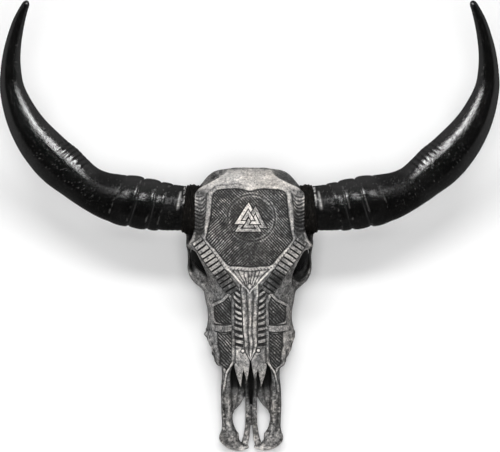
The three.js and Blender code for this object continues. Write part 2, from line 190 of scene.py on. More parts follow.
def station(y):
    y = min(max(y, STATIONS[0, 0]), STATIONS[-1, 0])
    i = int(min(np.searchsorted(STATIONS[:, 0], y, side="right") - 1, len(STATIONS) - 2))
    b, c = STATIONS[i], STATIONS[i + 1]
    a = STATIONS[max(i - 1, 0)]
    d = STATIONS[min(i + 2, len(STATIONS) - 1)]
    span = c[0] - b[0]
    f = (y - b[0]) / span
    m0 = (c - a) / (c[0] - a[0]) * span
    m1 = (d - b) / (d[0] - b[0]) * span
    f2, f3 = f * f, f * f * f
    return (2 * f3 - 3 * f2 + 1) * b + (f3 - 2 * f2 + f) * m0 + (3 * f2 - 2 * f3) * c + (f3 - f2) * m1


def loft_field():
    field = np.empty((len(xs), len(ys), len(zs)), dtype=np.float32)
    gx, gz = [g.ravel() for g in np.meshgrid(xs, zs, indexing="ij")]
    gx, gz = gx[:, None], gz[:, None]
    for j, y in enumerate(ys):
        s = station(float(y))
        half = s[2:12].reshape(5, 2)
        flip = np.array([-1.0, 1.0])
        marks = np.vstack([half[0] * flip, [0, s[1]], half, [0, s[12]], half[4] * flip])
        line = chain(marks, 6).astype(np.float32)
        a, b = line[:-1], line[1:]
        d = b - a
        t = np.clip(((gx - a[:, 0]) * d[:, 0] + (gz - a[:, 1]) * d[:, 1]) / np.maximum((d * d).sum(1), 1e-9), 0, 1)
        dist = np.sqrt((((gx - a[:, 0] - t * d[:, 0]) ** 2) + (gz - a[:, 1] - t * d[:, 1]) ** 2).min(1))
        over = (a[:, 1] > gz) != (b[:, 1] > gz)
        cut = d[:, 0] * (gz - a[:, 1]) / np.where(np.abs(d[:, 1]) < 1e-9, 1e-9, d[:, 1]) + a[:, 0]
        inside = (over & (gx < cut)).sum(1) % 2 == 1
        field[:, j, :] = np.where(inside, -dist, dist).reshape(len(xs), len(zs))
    y = ys[None, :, None]
    return np.maximum(field, np.maximum(STATIONS[0, 0] - y, y - STATIONS[-1, 0]))


FIELD = loft_field()


def patch(lo, hi):
    """The part of the grid inside a box: its slices and its points."""
    sl = tuple(slice(max(int(np.searchsorted(g, l)), 0), int(np.searchsorted(g, h))) for g, l, h in zip((xs, ys, zs), lo, hi))
    g = np.meshgrid(xs[sl[0]], ys[sl[1]], zs[sl[2]], indexing="ij")
    return sl, np.stack([q.ravel() for q in g], axis=1).astype(np.float32), g[0].shape


class Bar:
    """A bar along a curve with a rounded section of its own half width and half depth at each place."""

    def __init__(self, points, across, deep, up=(0, 0, 1), samples=5, shape=2.3):
        self.c = curve(points, samples)
        t = np.linspace(0, 1, len(self.c))
        self.a, self.b = along(across, t), along(deep, t)
        self.up, self.shape = np.array(up, dtype=np.float64), shape
        r = max(self.a.max(), self.b.max()) + 9
        self.lo, self.hi = self.c.min(0) - r, self.c.max(0) + r

    def __call__(self, p):
        best = np.full(len(p), 1e9, dtype=np.float32)
        out = np.full(len(p), 1e3, dtype=np.float32)
        for i in range(len(self.c) - 1):
            a, ab = self.c[i], self.c[i + 1] - self.c[i]
            length = np.linalg.norm(ab)
            ahead = ab / length
            across = np.cross(ahead, self.up)
            across /= np.linalg.norm(across)
            up = np.cross(across, ahead)
            q = p - a.astype(np.float32)
            t = np.clip(q @ (ahead / length).astype(np.float32), 0, 1)
            q = q - t[:, None] * ab.astype(np.float32)
            d2 = (q * q).sum(1)
            hit = d2 < best
            if not hit.any():
                continue
            best[hit] = d2[hit]
            ra = self.a[i] + t[hit] * (self.a[i + 1] - self.a[i])
            rb = self.b[i] + t[hit] * (self.b[i + 1] - self.b[i])
            rm = np.minimum(ra, rb)
            qq = np.abs(q[hit] @ np.stack([across, up, ahead], axis=1).astype(np.float32))
            s = self.shape
            v = ((qq[:, 0] / ra) ** s + (qq[:, 1] / rb) ** s + (qq[:, 2] / rm) ** s) ** (1 / s)
            out[hit] = (v - 1) * rm
        return out


class Ball:
    def __init__(self, centre, radii, tilt=0.0):
        self.c, self.r = np.array(centre, dtype=np.float32), np.array(radii, dtype=np.float32)
        self.k, self.s = math.cos(tilt), math.sin(tilt)
        r = max(radii) + 9
        self.lo, self.hi = self.c - r, self.c + r

    def __call__(self, p):
        q = p - self.c
        q = np.stack([q[:, 0], q[:, 1] * self.k + q[:, 2] * self.s, q[:, 2] * self.k - q[:, 1] * self.s], axis=1)
        k0 = np.sqrt(((q / self.r) ** 2).sum(1))
        k1 = np.sqrt(((q / self.r ** 2) ** 2).sum(1))
        return k0 * (k0 - 1.0) / np.maximum(k1, 1e-6)


def flat_distance(x, y, poly):
    """Signed distance in the plane to a closed outline, negative inside."""
    poly = np.asarray(poly, dtype=np.float64)
    best = np.full(x.shape, 1e9)
    odd = np.zeros(x.shape, dtype=bool)
    for (ax, ay), (bx, by) in zip(poly, np.roll(poly, -1, axis=0)):
        dx, dy = bx - ax, by - ay
        t = np.clip(((x - ax) * dx + (y - ay) * dy) / max(dx * dx + dy * dy, 1e-9), 0, 1)
        best = np.minimum(best, (x - ax - t * dx) ** 2 + (y - ay - t * dy) ** 2)
        if ay != by:
            odd ^= ((ay > y) != (by > y)) & (x < dx * (y - ay) / dy + ax)
    return np.where(odd, -1.0, 1.0) * np.sqrt(best)


class Slab:
    """A plate of an outline in x, y between two heights."""

    def __init__(self, outline, z0, z1):
        self.o, self.z0, self.z1 = np.array(outline, dtype=np.float64), z0, z1
        self.lo = np.array([self.o[:, 0].min() - 8, self.o[:, 1].min() - 8, z0 - 8])
        self.hi = np.array([self.o[:, 0].max() + 8, self.o[:, 1].max() + 8, z1 + 8])

    def __call__(self, p):
        d = flat_distance(p[:, 0].astype(np.float64), p[:, 1].astype(np.float64), self.o)
        return np.maximum(d, np.maximum(self.z0 - p[:, 2], p[:, 2] - self.z1)).astype(np.float32)


def add(shape, k):
    sl, p, dims = patch(shape.lo, shape.hi)
    FIELD[sl] = smin(FIELD[sl], shape(p).reshape(dims), k)


def cut(shape, k):
    sl, p, dims = patch(shape.lo, shape.hi)
    FIELD[sl] = smax(FIELD[sl], -shape(p).reshape(dims), k)


ORBIT = Ball((95, 327, -50), (47, 36, 35))
CAVITY = Bar([[0, 110, -38], [0, 150, -38], [0, 190, -40], [0, 236, -44]], [34, 33, 24, 7], [27, 25, 19, 6], shape=2.2)
OPENING = Slab([[-1, 163], [12, 163], [27, 160], [33, 150], [37.5, 137], [37.5, 96], [-1, 96]], -62, 40)
CHOANA = Ball((0, 306, -124), (17, 34, 17), -0.25)
FORAMEN = Ball((0, 474, -150), (15.5, 26, 15), 0.35)

add(Bar([[56, 262, -92], [56, 284, -110], [53, 295, -124]], [15, 15, 8], [22, 22, 11]), 8)
cut(ORBIT, 3.5)
cut(CAVITY, 2.5)
cut(OPENING, 2.5)
cut(CHOANA, 4)
# horn stump, arches round the orbits, postorbital bars
add(Bar([[60, HORN_Y, HORN_Z - 4], [80, HORN_Y, HORN_Z - 2], [92, HORN_Y, HORN_Z]], [35, 37.5, 37.5], [26, 28, 28]), 6)
ARCH = Bar([[82, 294, -62], [99.8, 308, -58], [108.3, 322, -58], [108.7, 345, -61], [109.8, 372, -67], [110.8, 392, -78], [99, 420, -92], [80, 441, -104], [70, 447, -107]],
           [7, 5.2, 2.7, 2.4, 3.2, 3.8, 5.2, 7, 9], [15, 14, 12.5, 10, 9, 9, 10, 12, 12])
add(ARCH, 6)
# a floor closing each orbit from below; what shows of it is painted near-black further down, as painted shade
add(Ball((77, 342, -105), (31, 42, 15)), 6)
MALAR = Bar([[70, 301, -68], [84, 308.5, -68], [95, 318, -67], [102, 333, -68]], [7, 10.5, 8.5, 4], [12, 15, 13, 6])
add(MALAR, 8)
# a plate closing the fossa behind the orbit from below, so no floor shows through; it is painted near-black further
# down, as painted shade
add(Ball((84, 386, -106), (27, 28, 10)), 6)
add(Bar([[104, 367, -24], [108.2, 368, -46], [109.2, 370, -64]], [4.6, 3.4, 4], [7.5, 6.5, 7], up=(0, 1, 0)), 6)
add(Bar([[98, 370.5, -17], [106.5, 367.5, -19], [113.4, 365.2, -22]], [6, 3.4, 1.1], [6, 3.4, 1.1]), 3)
# back of the skull
add(Ball((27, 467, -163), (19, 17, 22), 0.5), 4)
cut(FORAMEN, 3)
add(Bar([[60, 452, -118], [63, 453, -150], [62, 449, -185], [59, 444, -212]], [15, 13, 9, 6.5], [13, 11, 8, 6.5], up=(0, 1, 0)), 9)
add(Bar([[27, 286, -112], [27, 312, -126], [29, 338, -124], [33, 362, -108]], [6, 4.5, 4.5, 7], [16, 15, 13, 12]), 6)
# ear opening and a groove behind the cheek
cut(Ball((72, 431, -100), (16, 6, 6)), 3)
# snout: side bars with flared feet, middle bars, palate shelf
SNOUT = Bar([[43.6, 152, -47], [44, 120, -46], [43.6, 92, -45.5], [43.3, 66, -46], [43.1, 52, -47], [41, 36, -48], [38.6, 23.5, -49], [31, 10.8, -51], [19, 4.2, -52.5], [8.4, 4.4, -53]],
            [8.6, 9.0, 9.2, 9.7, 9.7, 12.0, 16.8, 12.6, 7.2, 3.6], [21, 16, 13, 11.5, 11, 10.5, 10, 9, 7, 3.6])
add(SNOUT, 4)
add(Bar([[11.6, 12.5, -51.5], [9.4, 21.5, -53], [6.8, 39, -55], [6.2, 60, -58], [6.2, 84, -63], [6.2, 112, -68], [6.2, 150, -72]], [5.8, 5.6, 4.7, 4.3, 4.3, 4.5, 5], [5.2, 5.5, 5.5, 5.5, 5.5, 5, 5]), 1.6)
add(Slab([[-1, 112], [-1, 50], [3, 50], [3, 112]], -74, -67), 1.5)
add(Bar([[0, 47, -56.0], [0, 61, -58.0], [0, 77, -61.4]], [3.2, 3.2, 3.2], [4.4, 4.4, 4.4], shape=3.2), 0.8)
add(Slab([[-1, 165], [-1, 108], [9, 100], [13, 91], [20, 80], [30, 69.5], [35, 70.5], [37, 165]], -71, -64), 2)
add(Bar([[31, 150, -60], [31, 118, -60], [30, 98, -60], [32, 82, -56], [35, 70, -50]], [9, 8, 6.5, 5, 4], [6, 6, 6, 6, 6], samples=6), 5)
# nasal bones' free points
add(Bar([[21, 172, -9], [21, 158, -9.5], [20.2, 140, -10.5], [18.3, 114.5, -13]], [8.6, 9, 6.2, 1.0], [5, 5, 4.4, 1.0]), 3)
add(Bar([[7.5, 172, -7.5], [7.5, 160, -8], [7.6, 144, -9], [7.2, 124.0, -11.5]], [7.5, 6.6, 4.6, 1.3], [5, 4.6, 3.6, 1.3]), 2)

# cheek teeth, square to the biting plane
TEETH_LONG = [17, 19, 20, 25, 29, 31]
TEETH_WIDE = [15, 18, 20, 23, 24, 22]
sl, p, dims = patch((26, 130, -190), (80, 310, -70))
level = p[:, 1] * CT - p[:, 2] * ST
height = p[:, 1] * ST + p[:, 2] * CT + BITE
teeth = np.full(len(p), 1e3, dtype=np.float32)
start = 149.0
for i, (long, wide) in enumerate(zip(TEETH_LONG, TEETH_WIDE)):
    middle = start + long * CT / 2
    low = -(BITE + middle * ST) / CT
    at = middle * CT - low * ST
    dx = np.abs(p[:, 0] - (47.5 + 1.4 * i)) - (wide / 2 - 3.0) + 1.3 * np.cos((level - at) * 2 * math.pi / (long * 0.52)) * 0.8
    dy = np.abs(level - at) - (long / 2 - 2.6)
    dz = np.abs(height - 24) - 22.6
    box = np.sqrt(np.maximum(dx, 0) ** 2 + np.maximum(dy, 0) ** 2 + np.maximum(dz, 0) ** 2) + np.minimum(np.maximum(dx, np.maximum(dy, dz)), 0) - 2.4
    teeth = np.minimum(teeth, box)
    start += long * CT
FIELD[sl] = smin(FIELD[sl], teeth.reshape(dims), 2.2)
# flat where it rests
FIELD = np.maximum(FIELD, -((ys[None, :, None] * ST + zs[None, None, :] * CT + BITE) - 0.35)).astype(np.float32)


def skin(field, origin, step):
    """Surface nets: one point in every cell that the surface crosses, one quad on every crossed edge."""
    inside = field < 0
    nx, ny, nz = field.shape
    corner = lambda a, b, c: (slice(a, nx - 1 + a), slice(b, ny - 1 + b), slice(c, nz - 1 + c))
    offsets = [(a, b, c) for a in (0, 1) for b in (0, 1) for c in (0, 1)]
    count = np.zeros((nx - 1, ny - 1, nz - 1), dtype=np.int8)
    for o in offsets:
        count += inside[corner(*o)]
    cells = np.argwhere((count > 0) & (count < 8))
    number = np.full(count.shape, -1, dtype=np.int32)
    number[tuple(cells.T)] = np.arange(len(cells))
    total = np.zeros((len(cells), 3))
    hits = np.zeros(len(cells))
    for a in offsets:
        for axis in range(3):
            if a[axis]:
                continue
            b = list(a)
            b[axis] = 1
            sa = field[tuple((cells + a).T)].astype(np.float64)
            sb = field[tuple((cells + b).T)].astype(np.float64)
            cross = (sa < 0) != (sb < 0)
            t = np.where(cross, sa / np.where(cross, sa - sb, 1.0), 0.0)
            at = np.array(a, dtype=np.float64)[None] + t[:, None] * (np.array(b) - np.array(a))[None]
            total += at * cross[:, None]
            hits += cross
    points = np.array(origin) + (cells + total / hits[:, None]) * step
    faces = []
    for axis in range(3):
        u, v = (axis + 1) % 3, (axis + 2) % 3
        n = list(field.shape)
        n[axis] -= 1
        lo = [slice(1, -1)] * 3
        lo[axis] = slice(0, n[axis])
        hi = list(lo)
        hi[axis] = slice(1, n[axis] + 1)
        sa, sb = inside[tuple(lo)], inside[tuple(hi)]
        edges = np.argwhere(sa != sb)
        into = sa[tuple(edges.T)]
        shift = np.ones(3, dtype=int)
        shift[axis] = 0
        base = edges + shift
        ring = []
        for du, dv in ((-1, -1), (0, -1), (0, 0), (-1, 0)):
            c = base.copy()
            c[:, u] += du
            c[:, v] += dv
            ring.append(number[tuple(c.T)])
        q = np.stack(ring, axis=1)
        q[~into] = q[~into][:, ::-1]
        faces.append(q)
    return points, np.vstack(faces)


full = np.concatenate([FIELD[::-1], FIELD], axis=0)
P, Q = skin(full, (-xs[-1], ys[0], zs[0]), STEP)
del full


def edges_of(faces):
    e = np.concatenate([faces[:, [i, (i + 1) % 4]] for i in range(4)])
    e.sort(axis=1)
    return np.unique(e, axis=0)


def neighbours_mean(points, e, n):
    deg = np.bincount(e.ravel(), minlength=n).astype(np.float64)
    out = np.empty_like(points)
    for k in range(points.shape[1]):
        out[:, k] = np.bincount(e[:, 0], points[e[:, 1], k], n) + np.bincount(e[:, 1], points[e[:, 0], k], n)
    return out / np.maximum(deg, 1)[:, None]


def settle(points, e, rounds):
    for _ in range(rounds):
        for w in (0.55, -0.57):
            points = points + w * (neighbours_mean(points, e, len(points)) - points)
    return points


def biggest(points, faces):
    """Only the largest connected piece is kept."""
    label = np.arange(len(points))
    e = edges_of(faces)
    while True:
        low = np.minimum(label[e[:, 0]], label[e[:, 1]])
        new = label.copy()
        np.minimum.at(new, e[:, 0], low)
        np.minimum.at(new, e[:, 1], low)
        new = new[new]
        if (new == label).all():
            break
        label = new
    keep = label == np.bincount(label).argmax()
    index = np.cumsum(keep) - 1
    return points[keep], index[faces[keep[faces[:, 0]]]]


P, Q = biggest(P, Q)
P = settle(P, edges_of(Q), 4)


def normals_of(points, faces):
    a, b, c, d = (points[faces[:, i]] for i in range(4))
    n = np.cross(c - a, d - b)
    out = np.zeros_like(points)
    for k in range(3):
        for i in range(4):
            out[:, k] += np.bincount(faces[:, i], n[:, k], len(points))
    return out / np.maximum(np.linalg.norm(out, axis=1), 1e-9)[:, None]


def refine(points, faces, chosen):
    """Each chosen quad is divided in four; its neighbours take the new points on their shared edges."""
    e = np.stack([faces, np.roll(faces, -1, axis=1)], axis=2)
    key = np.sort(e, axis=2)
    flat = key[..., 0].astype(np.int64) * len(points) + key[..., 1]
    split, place = np.unique(flat[chosen].ravel(), return_inverse=True)
    mids = (points[(split // len(points))] + points[(split % len(points))]) / 2
    centres = points[faces[chosen]].mean(1)
    m0, c0 = len(points), len(points) + len(mids)
    m = (place.reshape(-1, 4) + m0)
    c = np.arange(len(centres)) + c0
    f = faces[chosen]
    quads = np.concatenate([np.stack([f[:, i], m[:, i], c, m[:, (i + 3) % 4]], axis=1) for i in range(4)])
    rest = faces[~chosen]
    rest_keys = flat[~chosen]
    where = np.searchsorted(split, rest_keys)
    where = np.minimum(where, len(split) - 1)
    shared = split[where] == rest_keys
    touched = shared.any(1)
    many = []
    for face, keys, at in zip(rest[touched], shared[touched], where[touched]):
        loop = []
        for i in range(4):
            loop.append(int(face[i]))
            if keys[i]:
                loop.append(int(at[i] + m0))
        many.append(loop)
    return np.vstack([points, mids, centres]), np.vstack([rest[~touched], quads]), many


N = normals_of(P, Q)
front = (N[:, 2] > 0.12) & (np.abs(P[:, 0]) < 112) & (P[:, 1] > 100) & (P[:, 1] < 507) & (P[:, 2] > -52)
chosen = front[Q].all(1)
P, Q, POLY = refine(P, Q, chosen)

loops = [q for q in POLY]
E = edges_of(Q)
if loops:
    extra = np.array([[a, b] for q in loops for a, b in zip(q, q[1:] + q[:1])])
    extra.sort(axis=1)
    E = np.unique(np.vstack([E, extra]), axis=0)
P = settle(P, E, 2)
quads_for_normals = np.vstack([Q, np.array([[q[0], q[len(q) // 4], q[len(q) // 2], q[(3 * len(q)) // 4]] for q in loops])]) if loops else Q
N = normals_of(P, quads_for_normals)
print("bone", len(P), "points", len(Q) + len(loops), "faces")

# ---------------------------------------------------------------------------------------------------
# Carving, drawn on the face in drawing units: u from the midline, v down from the poll.
# ---------------------------------------------------------------------------------------------------
u = P[:, 0] / UNIT
v = NOSE - P[:, 1] / UNIT
hand = np.stack([u, v, np.zeros_like(u)], axis=1)
u = u + 0.45 * noise(hand, 11, 3)
v = v + 0.45 * noise(hand, 13, 4)
a = np.abs(u)
facing = ss(0.10, 0.32, N[:, 2])
rise = np.zeros(len(P))
tone = np.full(len(P), 0.138)


def lay(mask, value):
    global tone
    tone = tone * (1 - mask) + value * mask


def raise_by(mask, value):
    global rise
    rise = rise + mask * value


def line_distance(points):
    best = np.full(len(a), 1e9)
    for (ax, ay), (bx, by) in zip(points[:-1], points[1:]):
        dx, dy = bx - ax, by - ay
        t = np.clip(((a - ax) * dx + (v - ay) * dy) / (dx * dx + dy * dy), 0, 1)
        best = np.minimum(best, (a - ax - t * dx) ** 2 + (v - ay - t * dy) ** 2)
    return np.sqrt(best)


def hatch(pitch, rising=0.5):
    """Two crossing sets of cut lines; rising is the share of the set that climbs to the right."""
    shake = 0.55 * noise(hand, 7, 23)
    one = np.cos(2 * math.pi * ((u + v) * 0.7071 + shake) / pitch)
    two = np.cos(2 * math.pi * ((u - v) * 0.7071 + 0.5 * shake + 0.6 * noise(hand, 9, 24)) / pitch)
    return rising * one + (1.0 - rising) * two


patchy = fbm(hand, 16, 5)
fine = fbm(hand, 4, 6)

# plain grounds of the face
lay(ss(196, 186, v), 0.40)
arch_line = np.interp(a, [0, 16, 20, 24, 30, 36, 42, 48.5, 56], [158, 162.5, 168.0, 173.2, 177.4, 180.9, 184.0, 186.6, 191])
lay(ss(178, 168, v), 0.36)
# painted shade: the temple patches, where the skull turns away, are painted dark, much darker on the right side
temporal = ss(20, 30, a) * ss(0.5, -1.2, v - arch_line - np.where(u > 0, 1.3, 0.0))
lay(0.94 * temporal, np.where(u < 0, 0.23, 0.06) * (1.0 + 1.2 * patchy + 1.0 * fine))
raise_by(temporal, -1.8)
lay(bump(v - arch_line - np.where(u > 0, 2.4, 1.2), 1.6) * ss(54, 48, a) * ss(18, 26, a), 0.47)
raise_by(bump(v - arch_line - 1.0, 1.6) * ss(54, 48, a) * ss(18, 26, a), 0.9)
corner = np.sqrt(np.maximum(a - 48.8, 0) ** 2 + np.maximum(193.2 - v, 0) ** 2)
stub = ss(5.6, 6.8, corner) * ss(47, 49, a) * ss(196, 192, v)
lay(ss(335, 350, v) * ss(22, 17, a), np.where(u < 0, 0.30, 0.225) + 0.10 * patchy)
lay(ss(364, 376, v) * ss(18, 24, a), 0.23)

# forehead panel
PANEL = [(-3, 190.8), (2, 190.4), (7, 188.8), (14, 187.9), (28, 188.8), (33, 190.2), (36, 192.6), (37.6, 196.5), (39.2, 216), (42.4, 233), (43.8, 238.2), (43.0, 240.8), (23.2, 264.0), (19.5, 266.4), (-3, 267.4)]
d = flat_distance(a, v, PANEL)
inside = ss(0.4, -0.6, d)
rim = ss(-0.2, 0.9, d) * ss(4.9, 3.7, d)
lay(ss(7.5, 5.5, d) * ss(3.6, 5.0, d) * ss(188, 196, v) * 0.85, 0.06)
lay(rim, 0.27 + 0.12 * patchy + 0.06 * fine)
lay(bump(d - 1.9, 1.3) * rim * 0.8, 0.37 + 0.12 * patchy)
raise_by(rim, 0.6)
raise_by(bump(d - 2.1, 1.5), 0.9)
knurl = rim * ss(238, 242, v) * ss(0.8, 1.6, d) * ss(4.4, 3.4, d)
lay(0.7 * knurl * ss(0.15, 0.6, np.cos(2 * math.pi * (a - 0.6 * v) / 3.4)), 0.13)
raise_by(knurl, -0.35 * ss(0.0, 0.6, np.cos(2 * math.pi * (a - 0.6 * v) / 3.4)))
lay(inside, 0.050 + 0.026 * patchy)
raise_by(inside, -1.5)
lay(bump(d + 0.9, 0.8) * 0.8, 0.022)
rising = 0.22 + 0.62 * ss(6, -8, u) * ss(212, 222, v) + 0.16 * noise(hand, 9, 25)
cross = hatch(2.2, np.clip(rising, 0.1, 0.9))
wear_and_painted_highlight = ss(236, 246, v) * ss(24, 10, np.abs(u - 5.0))  # rubbed smooth towards the nose
weak = np.clip(0.72 + 0.45 * patchy + 0.55 * noise(hand, 4, 26) - 0.10 * ss(240, 252, v) - 0.34 * wear_and_painted_highlight + 0.32 * ss(222, 232, v) * ss(6, 16, np.abs(u)) + 0.35 * ss(218, 200, v) * ss(-2, -14, u) - 0.15 * ss(216, 200, v) * ss(10, 22, u), 0.30, 1.0)
lay(inside * ss(-0.6, -1.8, d) * ss(0.0, 0.7, cross) * weak, 0.175 + 0.06 * ss(-12, -26, u) + 0.12 * fine)
lay(inside * ss(-0.6, -1.8, d) * ss(-0.1, -0.65, cross) * (0.85 - 0.45 * wear_and_painted_highlight), 0.012)
lay(inside * ss(-0.6, -1.8, d) * wear_and_painted_highlight * ss(0.0, 0.7, noise(hand, 2.0, 33)) * 0.6, 0.125)
raise_by(inside * ss(-0.8, -2.2, d), 0.45 * cross * weak)

# ring and the three linked triangles
ring_u, ring_v = u - 1.8, v - 217.8
ring = np.sqrt(ring_u ** 2 + ring_v ** 2)
for radius, strength in ((22.0, 0.95), (25.0, 0.75)):
    m = bump(ring - radius, 0.75) * strength * np.clip(0.7 + 0.9 * patchy, 0.15, 1) * inside
    lay(m, 0.24)
    raise_by(m, 0.45)
lay(bump(ring - 23.6, 0.7) * inside * 0.7, 0.03)
lay(ss(21, 18, ring) * inside * 0.45, 0.055)
TRIANGLES = [
    [(-1.0, 202.2), (-15.0, 224.3), (12.4, 224.3)],
    [(6.2, 206.0), (-6.8, 228.3), (17.6, 228.3)],
    [(-1.0, 209.4), (-14.4, 232.0), (12.0, 232.0)],
]
depth = [-flat_distance(u, v, t) for t in TRIANGLES]
BAND = 3.25
emblem = np.maximum.reduce([ss(-1.4, -0.6, t) for t in depth])
lay(emblem * 0.97, 0.006)
raise_by(emblem, -0.4)
for i in range(3):
    over = (i + 1) % 3
    hidden = ss(-1.2, -0.65, depth[over]) * ss(BAND + 1.2, BAND + 0.65, depth[over])
    edge = ss(-1.2, -0.5, depth[i]) * ss(BAND + 1.2, BAND + 0.5, depth[i])
    lay(edge * (1 - hidden) * 0.9, 0.008)
for i in range(3):
    over = (i + 1) % 3
    hidden = ss(-1.2, -0.65, depth[over]) * ss(BAND + 1.2, BAND + 0.65, depth[over])
    body = ss(-0.15, 0.4, depth[i]) * ss(BAND + 0.15, BAND - 0.4, depth[i]) * (1 - hidden)
    lay(body, (0.45, 0.27, 0.36)[i] + 0.16 * fine - 0.12 * ss(8, 18, u) - (0.0, 0.0, 0.10)[i] * ss(225.5, 229.0, v))
    raise_by(body, 1.5)

# stacked ridges on the temples
temple = ss(43.4, 44.8, a) * ss(57, 55.6, a) * ss(188, 192, v) * ss(241, 231, v)
ridged = temple * ss(193, 197, v) * ss(238, 228, v)
wave = np.cos(2 * math.pi * (v + 0.10 * (a - 49.4) ** 2 - 0.006 * (a - 49.4) ** 3 + 0.9 * noise(hand, 6, 27)) / 3.75)
lay(temple, 0.20 - 0.15 * ss(193, 217, v) + 0.05 * patchy)
lay(ridged * ss(0.1, 0.95, wave) * np.clip(0.75 + 0.6 * noise(hand, 4, 28), 0, 1), 0.33 - 0.25 * ss(196, 219, v) + 0.10 * ss(51, 54.5, a) * ss(224, 204, v))
lay(ridged * ss(-0.25, -0.9, wave) * 0.7, 0.045 - 0.02 * ss(200, 220, v))
raise_by(ridged, 0.6 * wave)
lay(bump(a - 54.2, 0.9) * ss(193, 197, v) * ss(214, 200, v) * 0.7, 0.40)
lay(stub, 0.012)

# edge of the brow towards its corner
lay(bump(line_distance([(54.5, 233), (56.8, 239.5), (62.0, 246.2)]), 0.9) * 0.85, 0.36)
lay(bump(line_distance([(44, 240), (52, 236), (56.5, 238)]), 1.0) * 0.6, 0.25)
lay(bump(line_distance([(62.0, 246.2), (55.5, 250.5), (51.2, 257), (47.5, 266)]), 1.0) * 0.8, 0.32)
raise_by(bump(line_distance([(54.5, 233), (56.8, 239.5), (62.0, 246.2), (55.5, 250.5)]), 1.1), 0.8)

# ribs at both sides of the nose
blade_half = np.interp(v, [286, 291, 313, 346, 352, 360.5], [8.6, 8.4, 7.2, 5.9, 4.6, 0.0])
rib_zone = ss(blade_half + 0.9, blade_half + 1.7, a) * ss(16.6, 15.6, a) * ss(286.0, 289.0, v) * ss(349.0, 346.5, v)
lean = 1.25 - 0.85 * ss(300, 335, v)
rib_wave = ((v - lean * (16.4 - a) * (1.0 - 0.045 * (16.4 - a)) + 0.5 * noise(hand, 5, 19)) / 6.3 + 0.35) % 1.0
rib = ss(0.0, 0.24, rib_wave) * ss(0.68, 0.48, rib_wave)
lay(rib_zone, 0.030)
lay(rib_zone * rib, (0.30 + 0.18 * fine - 0.08 * ss(312, 296, v)) * np.where(u < 0, 1.0, 0.82))
raise_by(rib_zone, -0.5 + 1.9 * rib)

# ribbed bands along the lower sides of the panel
S0, S1 = np.array([52.2, 241.0]), np.array([16.8, 292.0])
axis = (S1 - S0) / np.linalg.norm(S1 - S0)
length = np.linalg.norm(S1 - S0)
s = (a - S0[0]) * axis[0] + (v - S0[1]) * axis[1]
c = -(a - S0[0]) * axis[1] + (v - S0[1]) * axis[0]
half = 5.6 + 0.9 * s / length
band = ss(half + 0.5, half - 0.5, np.abs(c)) * ss(-1.2, 0.2, s) * ss(length + 1.0, length - 0.2, s)
groove = np.abs((s / 5.05 - 0.1) % 1.0 - 0.5) * 5.05
outline = ss(half + 1.4, half + 0.5, np.abs(c)) * ss(-2.5, -0.5, s) * ss(length + 2.5, length + 0.5, s)
lay(outline * 0.85, 0.035)
light = (0.40 - 0.28 * ss(0.50, 0.70, s / length) + 0.12 * patchy) * np.where(u < 0, 0.97, 0.70)
lay(band, light * (0.85 + 0.25 * fine))
lay(band * bump(half - np.abs(c), 0.9) * 0.4, 0.10)
dark = band * ss(1.25, 0.55, groove)
lay(dark, 0.022)
raise_by(band, 1.5)
raise_by(dark, -1.7)

# fan under the panel, inside a raised point
slope = math.atan2(23.0, 21.0)
point = ((292.6 - v) * math.cos(slope) - a * math.sin(slope))  # inside the point when positive
below = ss(270.6, 271.8, v + 0.004 * a ** 2)
fan = ss(0.8, 1.8, point) * below
angle = np.degrees(np.arctan2(u, np.maximum(294.0 - v, 0.6)))
flute = np.cos(2 * math.pi * (angle + 3.0 * noise(hand, 6, 17)) / 10.4)
lay(ss(-2.4, -1.3, point) * ss(270.2, 271.2, v) * 0.85, 0.03)
lay(fan, 0.32 + 0.26 * fine)
lay(fan * ss(-0.6, -0.97, flute) * 0.8, 0.06)
drop = np.sqrt(u ** 2 + ((v - 286.6) / 1.25) ** 2)
lay(ss(3.6, 2.6, drop) * ss(1.6, 2.2, drop) * 0.8, 0.05)
lay(ss(2.2, 1.6, drop), 0.46)
raise_by(ss(2.4, 0.6, drop), 0.8)
raise_by(fan, 0.9 + 0.7 * flute)
lay(bump(v + 0.004 * a ** 2 - 271.2, 0.7) * ss(0.0, 1.5, point) * 0.8, 0.03)
vrim = bump(point, 1.15) * ss(267.6, 268.8, v)
lay(vrim, 0.50)
lay(bump(point - 1.9, 0.6) * ss(270, 271.5, v) * 0.75, 0.03)
raise_by(vrim, 1.7)

# blade down the nose with its long ridges
out = ss(-0.4, 0.6, -point)  # only below the raised point
blade = ss(blade_half + 0.35, blade_half - 0.35, a) * ss(361.2, 360.2, v) * out * ss(280, 284, v)
lay(ss(blade_half + 1.5, blade_half + 0.5, a) * ss(362.5, 361.0, v) * out * ss(282, 286, v) * ss(blade_half - 0.6, blade_half + 0.2, a) * 0.85, 0.03)
n = u / np.maximum(blade_half, 0.8)
ridges = np.cos(2 * math.pi * (n * 1.28 + 0.20 * noise(hand * [1, 0.25, 1], 3.2, 18)))
lay(blade, 0.19 + 0.08 * fine)
lay(blade * ss(0.2, 0.95, ridges), 0.33 + 0.22 * fine)
lay(blade * ss(-0.5, -0.95, ridges) * 0.85, 0.055)
raise_by(blade, 1.5 + 0.65 * ridges)
border = line_distance([(16.8, 297), (16.6, 330), (16.4, 345), (17.0, 362)])
lay(bump(border - 1.9, 0.7) * ss(300, 303, v) * 0.7, 0.05)
lay(bump(border, 0.95) * ss(300, 303, v), 0.30)
raise_by(bump(border, 1.0) * ss(300, 303, v), 0.9)
bead = np.sqrt((a - 7.7) ** 2 + (v - 350.8) ** 2)
lay(ss(2.9, 2.1, bead) * 0.9, 0.03)
lay(ss(1.75, 1.25, bead), 0.50)
raise_by(ss(1.8, 0.3, bead), 1.6)
raise_by(bump(bead - 2.5, 0.6), -0.6)
